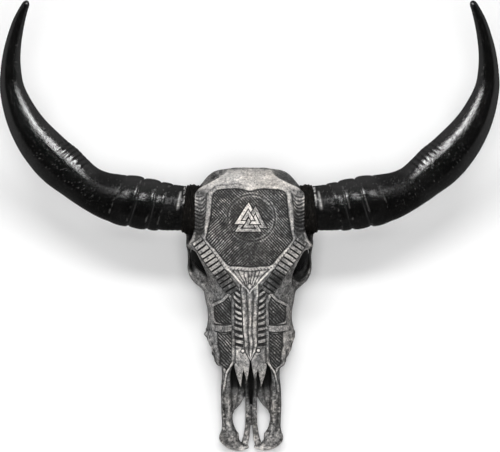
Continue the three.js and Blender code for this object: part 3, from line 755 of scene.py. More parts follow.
lay(bump(line_distance([(1.0, 361.5), (4.5, 357), (6.4, 353)]), 0.8) * 0.6, 0.46)
lay(bump(line_distance([(0.2, 362.5), (0.2, 372)]), 0.8) * 0.8, 0.05)
raise_by(bump(line_distance([(0.2, 361), (0.2, 372)]), 0.9), -0.9)

# cheek panels
UPPER = [(18.6, 324.0), (18.6, 303.5), (21.5, 296.5), (26, 301.5), (31.5, 304.2), (36.6, 306.6), (36.6, 318), (34.8, 322.6), (26, 324.8)]
LOWER = [(18.6, 332.6), (26, 334.4), (33.6, 332.8), (33.2, 346), (30.6, 354), (29.6, 364), (24.6, 372), (20.6, 367.5), (18.6, 358)]
for outline_poly, tall in ((UPPER, 0.9), (LOWER, 0.9)):
    d = flat_distance(a, v, outline_poly)
    inner = ss(0.4, -0.5, d)
    edge = ss(-0.2, 0.6, d) * ss(2.9, 2.1, d)
    lay(ss(4.6, 3.6, d) * ss(2.2, 3.0, d) * 0.7, 0.06)
    lay(edge, 0.235 + 0.08 * patchy)
    raise_by(edge, 0.8)
    lay(inner, 0.055 + 0.02 * patchy)
    raise_by(inner, -1.1)
    lay(bump(d + 0.7, 0.6) * 0.7, 0.025)
    cross = hatch(2.45, np.where(u < 0, 0.12, 0.22))
    weak = np.clip(0.65 + 0.7 * patchy + 0.4 * noise(hand, 4, 29), 0.25, 1.0)
    lay(inner * ss(-0.4, -1.4, d) * ss(0.0, 0.8, cross) * weak, 0.20 + 0.09 * ss(326, 336, v) * ss(4, -4, u) + 0.12 * fine)
    lay(inner * ss(-0.4, -1.4, d) * ss(-0.1, -0.8, cross) * 0.75, 0.014)
    raise_by(inner * ss(-0.6, -1.6, d), 0.42 * cross * weak)
bow = v + 0.012 * (a - 27) ** 2 - 1.2
plain = ss(17.6, 18.8, a) * ss(40, 37, a) * ss(324.6, 325.8, bow) * ss(331.2, 330.0, bow)
lay(plain, 0.31 + 0.06 * fine)
raise_by(plain, 0.5)
lay((bump(bow - 324.2, 0.85) + bump(bow - 331.6, 0.85)) * ss(17.6, 18.8, a) * ss(37, 35, a) * 0.95, 0.014)
raise_by((bump(bow - 324.2, 0.85) + bump(bow - 331.6, 0.85)) * ss(17.6, 18.8, a) * ss(37, 35, a), -0.8)
strip = ss(34.6, 35.8, a) * ss(46, 42, a) * ss(330, 334, v) * ss(360, 354, v + 0.5 * (a - 38))
lay(strip * 0.75, 0.30 + 0.08 * fine)
lay(ss(36, 39, a) * ss(46, 43, a) * ss(292, 300, v) * ss(332, 326, v) * 0.6, 0.27)

# raised double rim of the nasal opening, carried down the snout's bars
d = line_distance(curve([(16.9, 362.5), (20.8, 367.5), (24.4, 374.5), (26.4, 384), (27.2, 395), (27.0, 408)], 4))
snout = ss(360, 363, v) * ss(418, 404, v)
lay(bump(d - 1.7, 0.65) * snout * 0.8, 0.04)
raise_by(bump(d - 1.7, 0.8) * snout, -0.9)
lay(bump(d, 0.9) * snout, 0.38)
raise_by(bump(d, 1.0) * snout, 0.7)

# only what looks out of the face is carved
soft_tone = 0.17 + 0.0 * v
carve_zone = facing * ss(97, 103, P[:, 1]) * ss(-75, -58, P[:, 2]) * ss(110, 106, np.abs(P[:, 0]) + 0.0 * v)
tone = soft_tone * (1 - carve_zone) + tone * carve_zone
rise = rise * carve_zone

# snout bars, sides, back and base
low = ss(112, 100, P[:, 1])
up_side = ss(0.2, 0.6, N[:, 2])
bar_side = np.abs(P[:, 0]) - np.interp(P[:, 1], [-4, 4.6, 10.8, 23.5, 36, 52, 66, 92, 120], [18, 20, 30, 37, 40.5, 43.1, 43.3, 43.6, 44])
lay(low, 0.112 + ss(45, 22, P[:, 1]) * (0.030 + 0.028 * ss(-2, 4, u)) + 0.08 * fbm(P, 9, 61))
# painted highlight: a light line along the upward-facing tops of the snout's side bars
lay(low * bump(bar_side + 3.0, 2.4) * up_side * np.clip(0.45 + 0.8 * noise(P * [1, 0.3, 1], 4, 62), 0, 0.9), 0.32)
lay(low * bump(bar_side - 4.4, 1.5) * up_side * ss(30, 50, P[:, 1]) * 0.7, 0.06)
rise += -0.9 * low * bump(bar_side - 4.4, 1.6) * up_side * ss(30, 50, P[:, 1])
lay(low * ss(0.2, 0.6, noise(P, 3.0, 63)) * 0.8, 0.035)
lay(low * ss(0.3, 0.75, noise(P, 3.3, 64)) * 0.6 * up_side, 0.40)
lay(ss(9, 2, P[:, 1]) * np.clip(0.5 + noise(P, 6, 65), 0, 0.8), 0.36)
backside = ss(480, 500, P[:, 1] + 0.325 * -(P[:, 2] + 60)) * (1 - carve_zone)
lay(backside * 0.7, 0.24)
height = P[:, 1] * ST + P[:, 2] * CT + BITE
in_teeth = ss(34, 28, height) * ss(140, 148, P[:, 1]) * ss(306, 296, P[:, 1]) * ss(34, 37, np.abs(P[:, 0]))
lay(in_teeth * 0.8, 0.30)
lay(in_teeth * ss(3.0, 1.0, height), 0.20)

# painted shade in the hollows: the orbits, the nose cavity, the fossa behind the orbit and the plates under the orbits
# are painted dark; painted light on the snout's inner walls and on the lower outer floor of the left orbit
half_points = P.copy()
half_points[:, 0] = np.abs(half_points[:, 0])
half_points = half_points.astype(np.float32)
e = ORBIT(half_points)
lay(ss(3.5, 0.5, np.abs(e)) * ss(92, 78, half_points[:, 0] + 0.5 * np.maximum(-70 - P[:, 2], 0)), 0.028)
e = CAVITY(half_points)
lay(ss(4.0, 1.0, np.abs(e)) * ss(108, 128, P[:, 1]), 0.022)
deep = ss(163, 158, P[:, 1]) * ss(92, 110, P[:, 1] - 0.2 * half_points[:, 0]) * ss(37.0, 33.5, half_points[:, 0]) * ss(-22, -32, P[:, 2])
lay(deep * 0.95, 0.014)
# painted light: the snout's inner walls are painted lighter, most on the left
lay(ss(13, 17, half_points[:, 0]) * ss(38, 34, half_points[:, 0]) * ss(112, 92, P[:, 1]) * ss(60, 68, P[:, 1]) * ss(-44, -50, P[:, 2]) * 0.85, np.where(u < 0, 0.17, 0.125))
lay(np.where(u < 0, 1.0, 0.35) * bump(half_points[:, 0] - 22, 6.5) * bump(P[:, 1] - 88, 11.0) * ss(-50, -58, P[:, 2]) * np.clip(0.6 + noise(P, 4, 66), 0, 0.9), 0.27)
lay(ss(15, 11, half_points[:, 0]) * ss(72, 102, P[:, 1]) * ss(163, 158, P[:, 1]) * ss(-40, -50, P[:, 2]) * 0.93, 0.016 + 0.075 * bump(half_points[:, 0] - 8.6, 2.2) * ss(136, 116, P[:, 1]))
lay(ss(4.2, 2.6, half_points[:, 0]) * ss(76, 82, P[:, 1]) * ss(163, 158, P[:, 1]) * ss(-50, -56, P[:, 2]) * 0.9, 0.014)
# painted light on the lower outer floor of the left orbit; the right orbit is painted near-black as painted shade, with
# a lighter rim
in_orbit = ss(-38, -46, P[:, 2]) * ss(66, 74, half_points[:, 0]) * ss(280, 288, P[:, 1]) * ss(352, 342, P[:, 1]) * ss(0.0, 0.25, N[:, 2])
lit = ss(-3.0, 8.0, (v - 262.0) - 0.8 * (61.0 - a))
rim = ss(0.76, 0.90, np.sqrt(((half_points[:, 0] - 90.0) / 19.0) ** 2 + ((P[:, 1] - 330.0) / 37.0) ** 2)) * ss(332, 322, P[:, 1])
lay(in_orbit * ss(111, 106, half_points[:, 0]) * np.where(u < 0, 1.0, 1.0 - rim), np.where(u < 0, 0.020 + 0.17 * lit, 0.012 + 0.02 * lit))
lay(in_orbit * rim * np.where(u < 0, 0.0, 1.0), 0.10 + 0.06 * fine)
lay(ss(96, 102, half_points[:, 0]) * ss(318, 328, P[:, 1]) * ss(414, 402, P[:, 1]) * ss(-34, -42, P[:, 2]), 0.045)
# painted shade: the fossa behind the orbit and the plates under the orbits are painted near-black
fossa = ss(-24, -31, P[:, 2]) * ss(355, 363, P[:, 1]) * ss(418, 408, P[:, 1]) * ss(84, 92, half_points[:, 0]) * ss(110, 106, half_points[:, 0])
lay(fossa * 0.95, 0.014)
under_orbit = ss(-74, -84, P[:, 2]) * ss(-125, -112, P[:, 2]) * ss(298, 312, P[:, 1]) * ss(424, 412, P[:, 1]) * ss(40, 48, half_points[:, 0]) * ss(0.0, 0.3, N[:, 2])
lay(under_orbit * 0.97, 0.010)
lay(ss(3.5, 1.0, np.abs(FORAMEN(half_points))), 0.03)
lay(ss(3.5, 1.0, np.abs(CHOANA(half_points))), 0.04)

# broken outer edge of the cheek
jag = ss(140, 150, P[:, 1]) * ss(222, 212, P[:, 1]) * ss(48, 56, half_points[:, 0]) * ss(-100, -88, P[:, 2]) * ss(-40, -50, P[:, 2])
rise += jag * (2.6 * noise(P, 9.0, 21) + 1.0 * noise(P, 4.5, 20))
lay(jag * ss(0.1, 0.6, noise(P, 5.0, 22)) * 0.6, 0.05)

# places painted darker where they face out of the face, not the same on both sides
front = ss(-0.1, 0.3, N[:, 2])
left, right = ss(2, -2, u), ss(-2, 2, u)
for share, place in (
    (0.34 * left + 0.21 * right, ss(15, 17.5, a) * ss(38, 35, a) * ss(323.5, 325.5, v) * ss(333, 331, v)),
    (0.22 * left, ss(14.2, 15.2, a) * ss(19.5, 18.2, a) * ss(298, 302, v) * ss(348, 344, v)),
    (0.20 * left + 0.38 * right, ss(19, 21, a) * ss(371, 376, v) * ss(400, 393, v)),
    (0.30 * left, ss(42, 44.5, a) * ss(56, 53, a) * ss(227, 231, v) * ss(248, 245, v)),
    (0.08 * left + 0.17 * right, ss(34.5, 37, a) * ss(297, 302, v) * ss(328, 324, v)),
):
    tone = tone * (1.0 - share * place * front)

# seam where the two middle bars meet
rise -= 1.4 * bump(half_points[:, 0], 1.1) * ss(46, 50, P[:, 1]) * ss(79, 75, P[:, 1]) * ss(-66, -62, P[:, 2]) * ss(0.2, 0.6, N[:, 2])

# whole surface: soft swells and fine pits
rise += 0.55 * fbm(P, 26, 11) * (1 - 0.6 * carve_zone) + 0.28 * fbm(P, 6.0, 12) * (1 - 0.7 * carve_zone)
rest = ss(0.8, 3.0, height)  # the flats that rest on the floor stay flat
P = P + N * (rise * rest)[:, None]
P[:, 2] = np.maximum(P[:, 2], (0.3 - BITE - P[:, 1] * ST) / CT)

# hollow places gather dark colour, worn edges are lighter
spread = P
for _ in range(5):
    spread = neighbours_mean(spread, E, len(P))
hollow = ((spread - P) * N).sum(1)
spread = P
for _ in range(24):
    spread = neighbours_mean(spread, E, len(P))
wide_hollow = ((spread - P) * N).sum(1)
inner_wall = ss(12, 16, half_points[:, 0]) * ss(38, 35, half_points[:, 0]) * ss(116, 106, P[:, 1]) * ss(62, 68, P[:, 1]) * ss(-44, -50, P[:, 2])
bridge = ss(5.0, 3.5, half_points[:, 0]) * ss(46, 49, P[:, 1]) * ss(79, 75, P[:, 1])
gather = 1.0 - 0.75 * inner_wall - 0.45 * bridge
tone = tone * np.clip(1.0 + gather * (-0.65 * ss(0.03, 0.45, hollow) + 0.35 * ss(0.04, 0.45, -hollow)), 0.2, 1.45)
tone = tone * (1.0 - 0.8 * bridge * bump(half_points[:, 0], 1.0))  # the seam where the two middle bars meet
tone = tone * np.clip(1.0 + gather * (-0.35 * ss(0.3, 2.5, wide_hollow) + 0.15 * ss(0.4, 2.5, -wide_hollow)), 0.4, 1.25)
grime = fbm(P, 22, 41) * 0.6 + fbm(P, 7, 42) * 0.5
calm = 1.0 - 0.55 * ss(0.30, 0.48, tone)
tone = tone * (1.0 + 0.45 * grime * calm)
# painted shade: faces that turn away from the front of the face are painted darker
tone = tone * (0.62 + 0.38 * ss(-0.15, 0.55, N[:, 2]))
speck = noise(P, 2.6, 43)
tone = tone * (1.0 - 0.45 * ss(0.35, 0.8, speck) * (1 - 0.6 * carve_zone)) * (1.0 + 0.30 * noise(P, 4.4, 44) * calm)
grit = noise(P, 1.5, 45) * 0.6 + noise(P, 2.9, 46) * 0.5
middle = ss(0.05, 0.10, tone) * ss(0.30, 0.20, tone)
tone = tone * (1.0 + 0.55 * noise(P, 3.3, 47) * middle)
tone = tone * (1.0 + 0.62 * grit * calm)
tone = tone * (np.maximum(tone, 0.004) / 0.20) ** 0.28
tone = np.clip(tone, 0.006, 0.80)
warm = np.clip(0.45 + 0.45 * np.clip(fbm(P, 40, 51) * 1.4, -1, 1) + 0.5 * ss(0.12, 0.45, tone), 0, 1.2)


# ---------------------------------------------------------------------------------------------------
# Making objects
# ---------------------------------------------------------------------------------------------------
def make_mesh(name, points, quads, many=(), colours=None, extra=None):
    me = bpy.data.meshes.new(name)
    sizes = np.concatenate([np.full(len(quads), 4, dtype=np.int32), np.array([len(q) for q in many], dtype=np.int32)])
    corners = np.concatenate([np.asarray(quads, dtype=np.int32).ravel(), np.array([i for q in many for i in q], dtype=np.int32)])
    me.vertices.add(len(points))
    me.vertices.foreach_set("co", points.astype(np.float32).ravel())
    me.loops.add(len(corners))
    me.loops.foreach_set("vertex_index", corners)
    me.polygons.add(len(sizes))
    me.polygons.foreach_set("loop_start", np.concatenate([[0], np.cumsum(sizes)[:-1]]).astype(np.int32))
    me.polygons.foreach_set("loop_total", sizes)
    me.polygons.foreach_set("use_smooth", np.ones(len(sizes), dtype=bool))
    me.update(calc_edges=True)
    if colours is not None:
        layer = me.attributes.new("shade", "FLOAT_COLOR", "POINT")
        rgba = np.ones((len(points), 4), dtype=np.float32)
        rgba[:, :3] = colours
        layer.data.foreach_set("color", rgba.ravel())
    for key, values in (extra or {}).items():
        layer = me.attributes.new(key, "FLOAT", "POINT")
        layer.data.foreach_set("value", values.astype(np.float32))
    me.validate()
    ob = bpy.data.objects.new(name, me)
    bpy.context.scene.collection.objects.link(ob)
    return ob


class Nodes:
    """A short way to write a material's nodes."""

    def __init__(self, name):
        self.mat = bpy.data.materials.new(name)
        self.mat.use_nodes = True
        self.tree = self.mat.node_tree
        self.shader = self.tree.nodes["Principled BSDF"]

    def node(self, kind, inputs=None, **settings):
        n = self.tree.nodes.new(kind)
        for k, val in settings.items():
            setattr(n, k, val)
        for k, val in (inputs or {}).items():
            if isinstance(val, bpy.types.NodeSocket):
                self.tree.links.new(val, n.inputs[k])
            else:
                n.inputs[k].default_value = val
        return n

    def to(self, socket, name):
        self.tree.links.new(socket, self.shader.inputs[name])

    def ramp(self, fac, stops):
        n = self.node("ShaderNodeValToRGB", {"Fac": fac})
        els = n.color_ramp.elements
        while len(els) < len(stops):
            els.new(0.5)
        for el, (at, col) in zip(els, stops):
            el.position = at
            el.color = (*col, 1) if len(col) == 3 else col
        return n.outputs["Color"]


def bone_material():
    m = Nodes("carved_bone")
    painted = m.node("ShaderNodeAttribute", attribute_name="shade")
    shade = painted.outputs["Color"]
    at = m.node("ShaderNodeTexCoord").outputs["Object"]
    fine = m.node("ShaderNodeTexNoise", {"Vector": at, "Scale": 440.0, "Detail": 4.0, "Roughness": 0.65}).outputs["Fac"]
    mid = m.node("ShaderNodeTexNoise", {"Vector": at, "Scale": 120.0, "Detail": 5.0, "Roughness": 0.6}).outputs["Fac"]
    pores = m.node("ShaderNodeTexVoronoi", {"Vector": at, "Scale": 430.0}, feature="F1").outputs["Distance"]
    grain = m.ramp(fine, [(0.31, (0.42, 0.42, 0.42)), (0.69, (1.50, 1.50, 1.50))])
    much = m.node("ShaderNodeMapRange", {"Value": painted.outputs["Fac"], 1: 0.25, 2: 0.45, 3: 1.0, 4: 0.5}).outputs[0]
    colour = m.node("ShaderNodeMix", {6: shade, 7: grain, 0: much}, data_type="RGBA", blend_type="MULTIPLY").outputs[2]
    dust = m.ramp(mid, [(0.35, (0.84, 0.84, 0.85)), (0.68, (1.12, 1.11, 1.09))])
    colour = m.node("ShaderNodeMix", {6: colour, 7: dust, 0: 1.0}, data_type="RGBA", blend_type="MULTIPLY").outputs[2]
    m.to(colour, "Base Color")
    rough = m.node("ShaderNodeMapRange", {"Value": mid, 1: 0.25, 2: 0.75, 3: 0.48, 4: 0.74}).outputs[0]
    m.to(rough, "Roughness")
    pit = m.node("ShaderNodeMapRange", {"Value": pores, 1: 0.0, 2: 0.45, 3: 0.0, 4: 1.0}).outputs[0]
    b1 = m.node("ShaderNodeBump", {"Height": fine, "Strength": 0.35, "Distance": 0.0006}).outputs["Normal"]
    b2 = m.node("ShaderNodeBump", {"Height": pit, "Strength": 0.22, "Distance": 0.0005, "Normal": b1}).outputs["Normal"]
    m.to(b2, "Normal")
    m.shader.inputs["Specular IOR Level"].default_value = 0.26
    return m.mat


BONE = bone_material()
tint_warm, tint_cool = np.array([1.045, 0.995, 0.945]), np.array([0.99, 1.0, 1.01])
colours = tone[:, None] * (warm[:, None] * tint_warm + (1 - warm[:, None]) * tint_cool)
# outline of the cheeks and the snout's bars, and the snout's slight lean
SIDE_AT = [4, 13, 28, 42, 56, 99, 127, 147, 152, 163, 174, 184, 195, 206, 216, 232, 248, 270]
SIDE_X = [44, 47.9, 54.5, 52.5, 52.5, 52.7, 52.9, 54.6, 56, 60, 65, 69, 74.4, 79, 79.7, 77.6, 78, 81.5]
MOVE_AT = [4, 13, 28, 42, 56, 70, 85, 99, 113, 127, 136, 147, 150.5, 153, 158, 163, 168, 174, 179, 184, 190, 197, 206, 216, 222, 238, 254, 264, 272, 290]
MOVE_X = [2.6, 3.2, 1.5, 0, 0.3, 0.8, 1.4, 1.6, 0.7, -0.9, -1.3, -2.2, 2.2, 3.6, 4.4, 3.4, 4.2, 3.2, 2.2, 2.1, 1.2, 0.7, 0.4, -0.8, -1.7, -2.2, -2.7, -1.9, -1.2, 0]
side_x = np.interp(P[:, 1], SIDE_AT, SIDE_X)
outer = ss(0.0, 1.0, (np.abs(P[:, 0]) - side_x + 12.0) / 10.0) * ss(-108, -95, P[:, 2])
P[:, 0] += np.sign(P[:, 0]) * np.interp(P[:, 1], MOVE_AT, MOVE_X) * outer + np.interp(P[:, 1], [-10, 60, 290], [3.2, 3.0, 0.0])
skull = make_mesh("skull", to_world(P), Q, loops, colours)
skull.data.materials.append(BONE)
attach(skull, "root")
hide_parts("maxilla", "cranium", "occiput", "nasal_left", "nasal_right", "premaxilla_left", "premaxilla_right", "zygomatic_left", "zygomatic_right")

# ---- horns and their rough collars ------------------------------------------------------------------
HORN_LINE = [
    [123.4, HORN_Y, HORN_Z], [130, HORN_Y, HORN_Z], [146, 435, -37.5], [204.8, 444.4, -43], [265.4, 459.5, -47], [317.8, 492.8, -50], [365.3, 535.2, -51],
    [402.4, 585.6, -49], [425.4, 644.2, -45], [428.5, 682, -41], [425.4, 718, -37], [415.6, 760, -31], [406, 786, -27], [397.2, 804.6, -24],
]
HORN_WIDTH = [40, 43.5, 45, 43.5, 39, 39, 41, 38.5, 33.5, 27.6, 21.8, 17.4, 14.2, 10.8, 6.2]
HORN_DEPTH = [31, 32.5, 33, 32, 30, 29, 28.5, 27, 24, 20, 16, 13.5, 11, 8.6, 5.4]
TIP_ROUND = 0.016
BASE_LEAN = 10.0  # the horn's base edge comes this much nearer to the skull on its upper side


def leaned(points, share):
    """Points near the line between the collar and the horn, which leans."""
    reach = np.abs(points[:, 0])
    out = points.copy()
    out[:, 0] -= np.sign(points[:, 0]) * share(reach) * BASE_LEAN * (0.55 + 0.5 * (points[:, 1] - HORN_Y) / 41.5)
    return out


def sweep(points, width, deep, steps, sides, shape, ripple, side, tip=0.0):
    """A swept bar for one side: its points, quads, share along it and share round it."""
    line = curve(points, 60)
    cut = np.concatenate([[0], np.cumsum(np.linalg.norm(np.diff(line, axis=0), axis=1))])
    even = np.linspace(0, cut[-1], steps + 1)
    line = np.stack([np.interp(even, cut, line[:, k]) for k in range(3)], axis=1)
    t = np.linspace(0, 1, steps + 1)
    ahead = np.gradient(line, axis=0)
    ahead[0] = line[1] - line[0]
    ahead /= np.linalg.norm(ahead, axis=1)[:, None]
    across = np.cross(ahead, [0, 0, 1.0])
    across /= np.linalg.norm(across, axis=1)[:, None]
    up = np.cross(across, ahead)
    f = np.linspace(0, 2 * math.pi, sides, endpoint=False)
    T, F = np.meshgrid(t, f, indexing="ij")
    c, s = np.cos(F), np.sin(F)
    c, s = np.sign(c) * np.abs(c) ** (2 / shape), np.sign(s) * np.abs(s) ** (2 / shape)
    w, h = along(width, t)[:, None], along(deep, t)[:, None]
    if tip:
        ball = np.sqrt(np.maximum(1.0 - (np.maximum(t - 1.0 + tip, 0.0) / tip) ** 2, 0.01))[:, None]
        w, h = w * ball, h * ball
    q = line[:, None] + across[:, None] * (w * c)[..., None] + up[:, None] * (h * s)[..., None]
    n = across[:, None] * (c / w)[..., None] + up[:, None] * (s / h)[..., None]
    n /= np.maximum(np.linalg.norm(n, axis=2), 1e-9)[..., None]
    q = q + n * ripple(T, F, q)[..., None]
    pts = q.reshape(-1, 3)
    i = np.arange(steps)[:, None] * sides
    j = np.arange(sides)[None]
    k = (j + 1) % sides
    quads = np.stack([i + j, i + sides + j, i + sides + k, i + k], axis=2).reshape(-1, 4)
    ends = []
    for ring, flip in ((0, False), (steps, True)):
        middle = q[ring].mean(0)
        pts = np.vstack([pts, middle])
        m = len(pts) - 1
        for a0 in range(sides):
            b0 = (a0 + 1) % sides
            tri = [m, ring * sides + a0, ring * sides + b0]
            ends.append(tri[::-1] if flip else tri)
    T = np.concatenate([T.ravel(), [0.0, 1.0]])
    F = np.concatenate([F.ravel(), [0.0, 0.0]])
    if side < 0:
        pts = pts * np.array([-1.0, 1.0, 1.0])
        quads = quads[:, ::-1]
        ends = [e[::-1] for e in ends]
    return pts, quads, ends, T, F


RINGS = [(0.047, 0.084, 1.5), (0.084, 0.142, 1.8), (0.142, 0.202, 2.2)]  # each growth ring: from, to, height
LINES = [(0.047, 0.9), (0.084, 1.2), (0.142, 1.4), (0.202, 0.9)]  # cut lines between them: place, depth


def horn_ripple(seed):
    def ripple(T, F, q):
        p = q.reshape(-1, 3)
        wander = noise(np.stack([np.cos(F.ravel()) * 2, np.sin(F.ravel()) * 2, T.ravel() * 9], axis=1), 1.0, seed).reshape(T.shape)
        lean = T - 0.0118 * np.cos(F) * ss(0.0, 0.06, T) - 0.003 * wander
        out = np.zeros_like(T)
        for lo, hi, tall in RINGS:
            x = np.clip((lean - lo) / (hi - lo), 0, 1)
            out += tall * np.sin(math.pi * x ** 0.8) * (1 + 0.25 * wander)
        for at, dig in LINES:
            fade = ss(-0.1, 0.7, -np.cos(F)) if at > 0.18 else 1.0
            out -= dig * fade * np.exp(-(((lean - at) / 0.0034) ** 2)) * (1 + 0.3 * wander)
        out += 0.32 * np.cos(2 * math.pi * lean / 0.0088) * ss(0.044, 0.030, lean) * ss(0.0, 0.004, T) * (0.6 + 0.5 * wander)
        inner = np.exp(-((((F - math.radians(158) + math.pi) % (2 * math.pi)) - math.pi) / 0.55) ** 2)
        scales = np.maximum(np.cos(2 * math.pi * (T + 0.014 * F + 0.004 * wander) / 0.0185), 0.0) ** 3
        out -= (1.1 + 0.6 * wander) * scales * ss(math.radians(112), math.radians(134), F) * ss(math.radians(196), math.radians(176), F) * ss(0.325, 0.35, T) * ss(0.485, 0.45, T)
        out += 2.4 * np.exp(-(((T - 0.405) / 0.034) ** 2)) * inner
        out -= 4.2 * np.exp(-(((T - 0.322) / 0.030) ** 2)) * inner
        lengthwise = np.stack([np.cos(F.ravel()) * 9, np.sin(F.ravel()) * 9, T.ravel() * 7], axis=1)
        out += 0.22 * noise(lengthwise, 1.0, seed + 3).reshape(T.shape) * np.clip((1 - T) * 2.5, 0, 1)
        out += 0.8 * fbm(p, 60, seed + 5).reshape(T.shape) * np.clip((1 - T) * 4, 0, 1)
        keel = np.exp(-((((F - math.radians(62) + math.pi) % (2 * math.pi)) - math.pi) / 0.30) ** 2)
        out += 1.6 * keel * np.clip((1 - T) * 3, 0, 1) * ss(0.20, 0.36, T)
        return out * ss(1.0, 0.985, T)

    return ripple


def horn_material():
    m = Nodes("black_horn")
    share = m.node("ShaderNodeAttribute", attribute_name="along").outputs["Fac"]
    turn = m.node("ShaderNodeAttribute", attribute_name="round").outputs["Fac"]
    turn2 = m.node("ShaderNodeAttribute", attribute_name="round2").outputs["Fac"]
    at = m.node("ShaderNodeTexCoord").outputs["Object"]
    run = m.node("ShaderNodeCombineXYZ", {0: turn, 1: turn2, 2: share}).outputs[0]
    fibre = m.node("ShaderNodeMapping", {"Vector": run, "Scale": (16.0, 16.0, 9.0)}).outputs[0]
    streak = m.node("ShaderNodeTexNoise", {"Vector": fibre, "Scale": 1.0, "Detail": 6.0, "Roughness": 0.7}).outputs["Fac"]
    cloud = m.node("ShaderNodeTexNoise", {"Vector": at, "Scale": 26.0, "Detail": 4.0, "Roughness": 0.6}).outputs["Fac"]
    fine = m.node("ShaderNodeTexNoise", {"Vector": at, "Scale": 330.0, "Detail": 4.0, "Roughness": 0.6}).outputs["Fac"]
    shade = m.node("ShaderNodeAttribute", attribute_name="shade").outputs["Color"]
    tint = m.ramp(streak, [(0.32, (0.55, 0.55, 0.56)), (0.55, (1.0, 1.0, 1.0)), (0.78, (2.3, 2.15, 1.95))])
    colour = m.node("ShaderNodeMix", {6: shade, 7: tint, 0: 1.0}, data_type="RGBA", blend_type="MULTIPLY").outputs[2]
    m.to(colour, "Base Color")
    r1 = m.node("ShaderNodeMapRange", {"Value": cloud, 1: 0.3, 2: 0.7, 3: 0.07, 4: 0.15}).outputs[0]
    r2 = m.node("ShaderNodeMapRange", {"Value": streak, 1: 0.35, 2: 0.75, 3: -0.02, 4: 0.09}).outputs[0]
    matt = m.node("ShaderNodeAttribute", attribute_name="matt").outputs["Fac"]
    r3 = m.node("ShaderNodeMath", {0: matt, 1: 0.12}, operation="MULTIPLY").outputs[0]
    smooth = m.node("ShaderNodeMath", {0: r1, 1: r2}, operation="ADD").outputs[0]
    m.to(m.node("ShaderNodeMath", {0: smooth, 1: r3}, operation="ADD").outputs[0], "Roughness")
    dent = m.node("ShaderNodeTexNoise", {"Vector": at, "Scale": 150.0, "Detail": 4.0, "Roughness": 0.6}).outputs["Fac"]
    b0 = m.node("ShaderNodeBump", {"Height": dent, "Strength": 0.32, "Distance": 0.0013}).outputs["Normal"]
    b1 = m.node("ShaderNodeBump", {"Height": streak, "Strength": 0.34, "Distance": 0.0008, "Normal": b0}).outputs["Normal"]
    b2 = m.node("ShaderNodeBump", {"Height": fine, "Strength": 0.45, "Distance": 0.0005, "Normal": b1}).outputs["Normal"]
    m.to(b2, "Normal")
    m.to(m.node("ShaderNodeMapRange", {"Value": matt, 1: 0.0, 2: 1.0, 3: 0.55, 4: 0.16}).outputs[0], "Specular IOR Level")
    return m.mat


def collar_material():
    m = Nodes("rough_core")
    at = m.node("ShaderNodeTexCoord").outputs["Object"]
    stretch = m.node("ShaderNodeMapping", {"Vector": at, "Scale": (1.0, 0.35, 0.35)}).outputs[0]
    bark = m.node("ShaderNodeTexNoise", {"Vector": stretch, "Scale": 420.0, "Detail": 6.0, "Roughness": 0.75}).outputs["Fac"]
    cloud = m.node("ShaderNodeTexNoise", {"Vector": at, "Scale": 90.0, "Detail": 4.0}).outputs["Fac"]
    base = m.ramp(bark, [(0.30, (0.002, 0.0018, 0.0016)), (0.58, (0.006, 0.0055, 0.005)), (0.80, (0.10, 0.092, 0.08))])
    over = m.ramp(cloud, [(0.35, (0.55, 0.55, 0.55)), (0.70, (1.25, 1.2, 1.12))])
    m.to(m.node("ShaderNodeMix", {6: base, 7: over, 0: 1.0}, data_type="RGBA", blend_type="MULTIPLY").outputs[2], "Base Color")
    m.to(m.node("ShaderNodeMapRange", {"Value": bark, 1: 0.3, 2: 0.8, 3: 0.62, 4: 0.92}).outputs[0], "Roughness")
    m.to(m.node("ShaderNodeBump", {"Height": bark, "Strength": 0.8, "Distance": 0.0016}).outputs["Normal"], "Normal")
    m.shader.inputs["Specular IOR Level"].default_value = 0.09
    return m.mat


HORN, COLLAR = horn_material(), collar_material()


def collar_ripple(seed):
    def ripple(T, F, q):
        p = q.reshape(-1, 3)
        fine = noise(p * np.array([1.0, 0.6, 0.6]), 3.0, seed).reshape(T.shape)
        coarse = fbm(p, 9.0, seed + 2).reshape(T.shape)
        rows = np.cos(2 * math.pi * T * 3.2 + 1.2 * coarse)
        soft = ss(0.0, 0.06, T) * ss(1.0, 0.94, T)
        return (0.9 * fine + 1.1 * coarse + 0.7 * rows) * soft - 0.8 * (1 - soft)

    return ripple


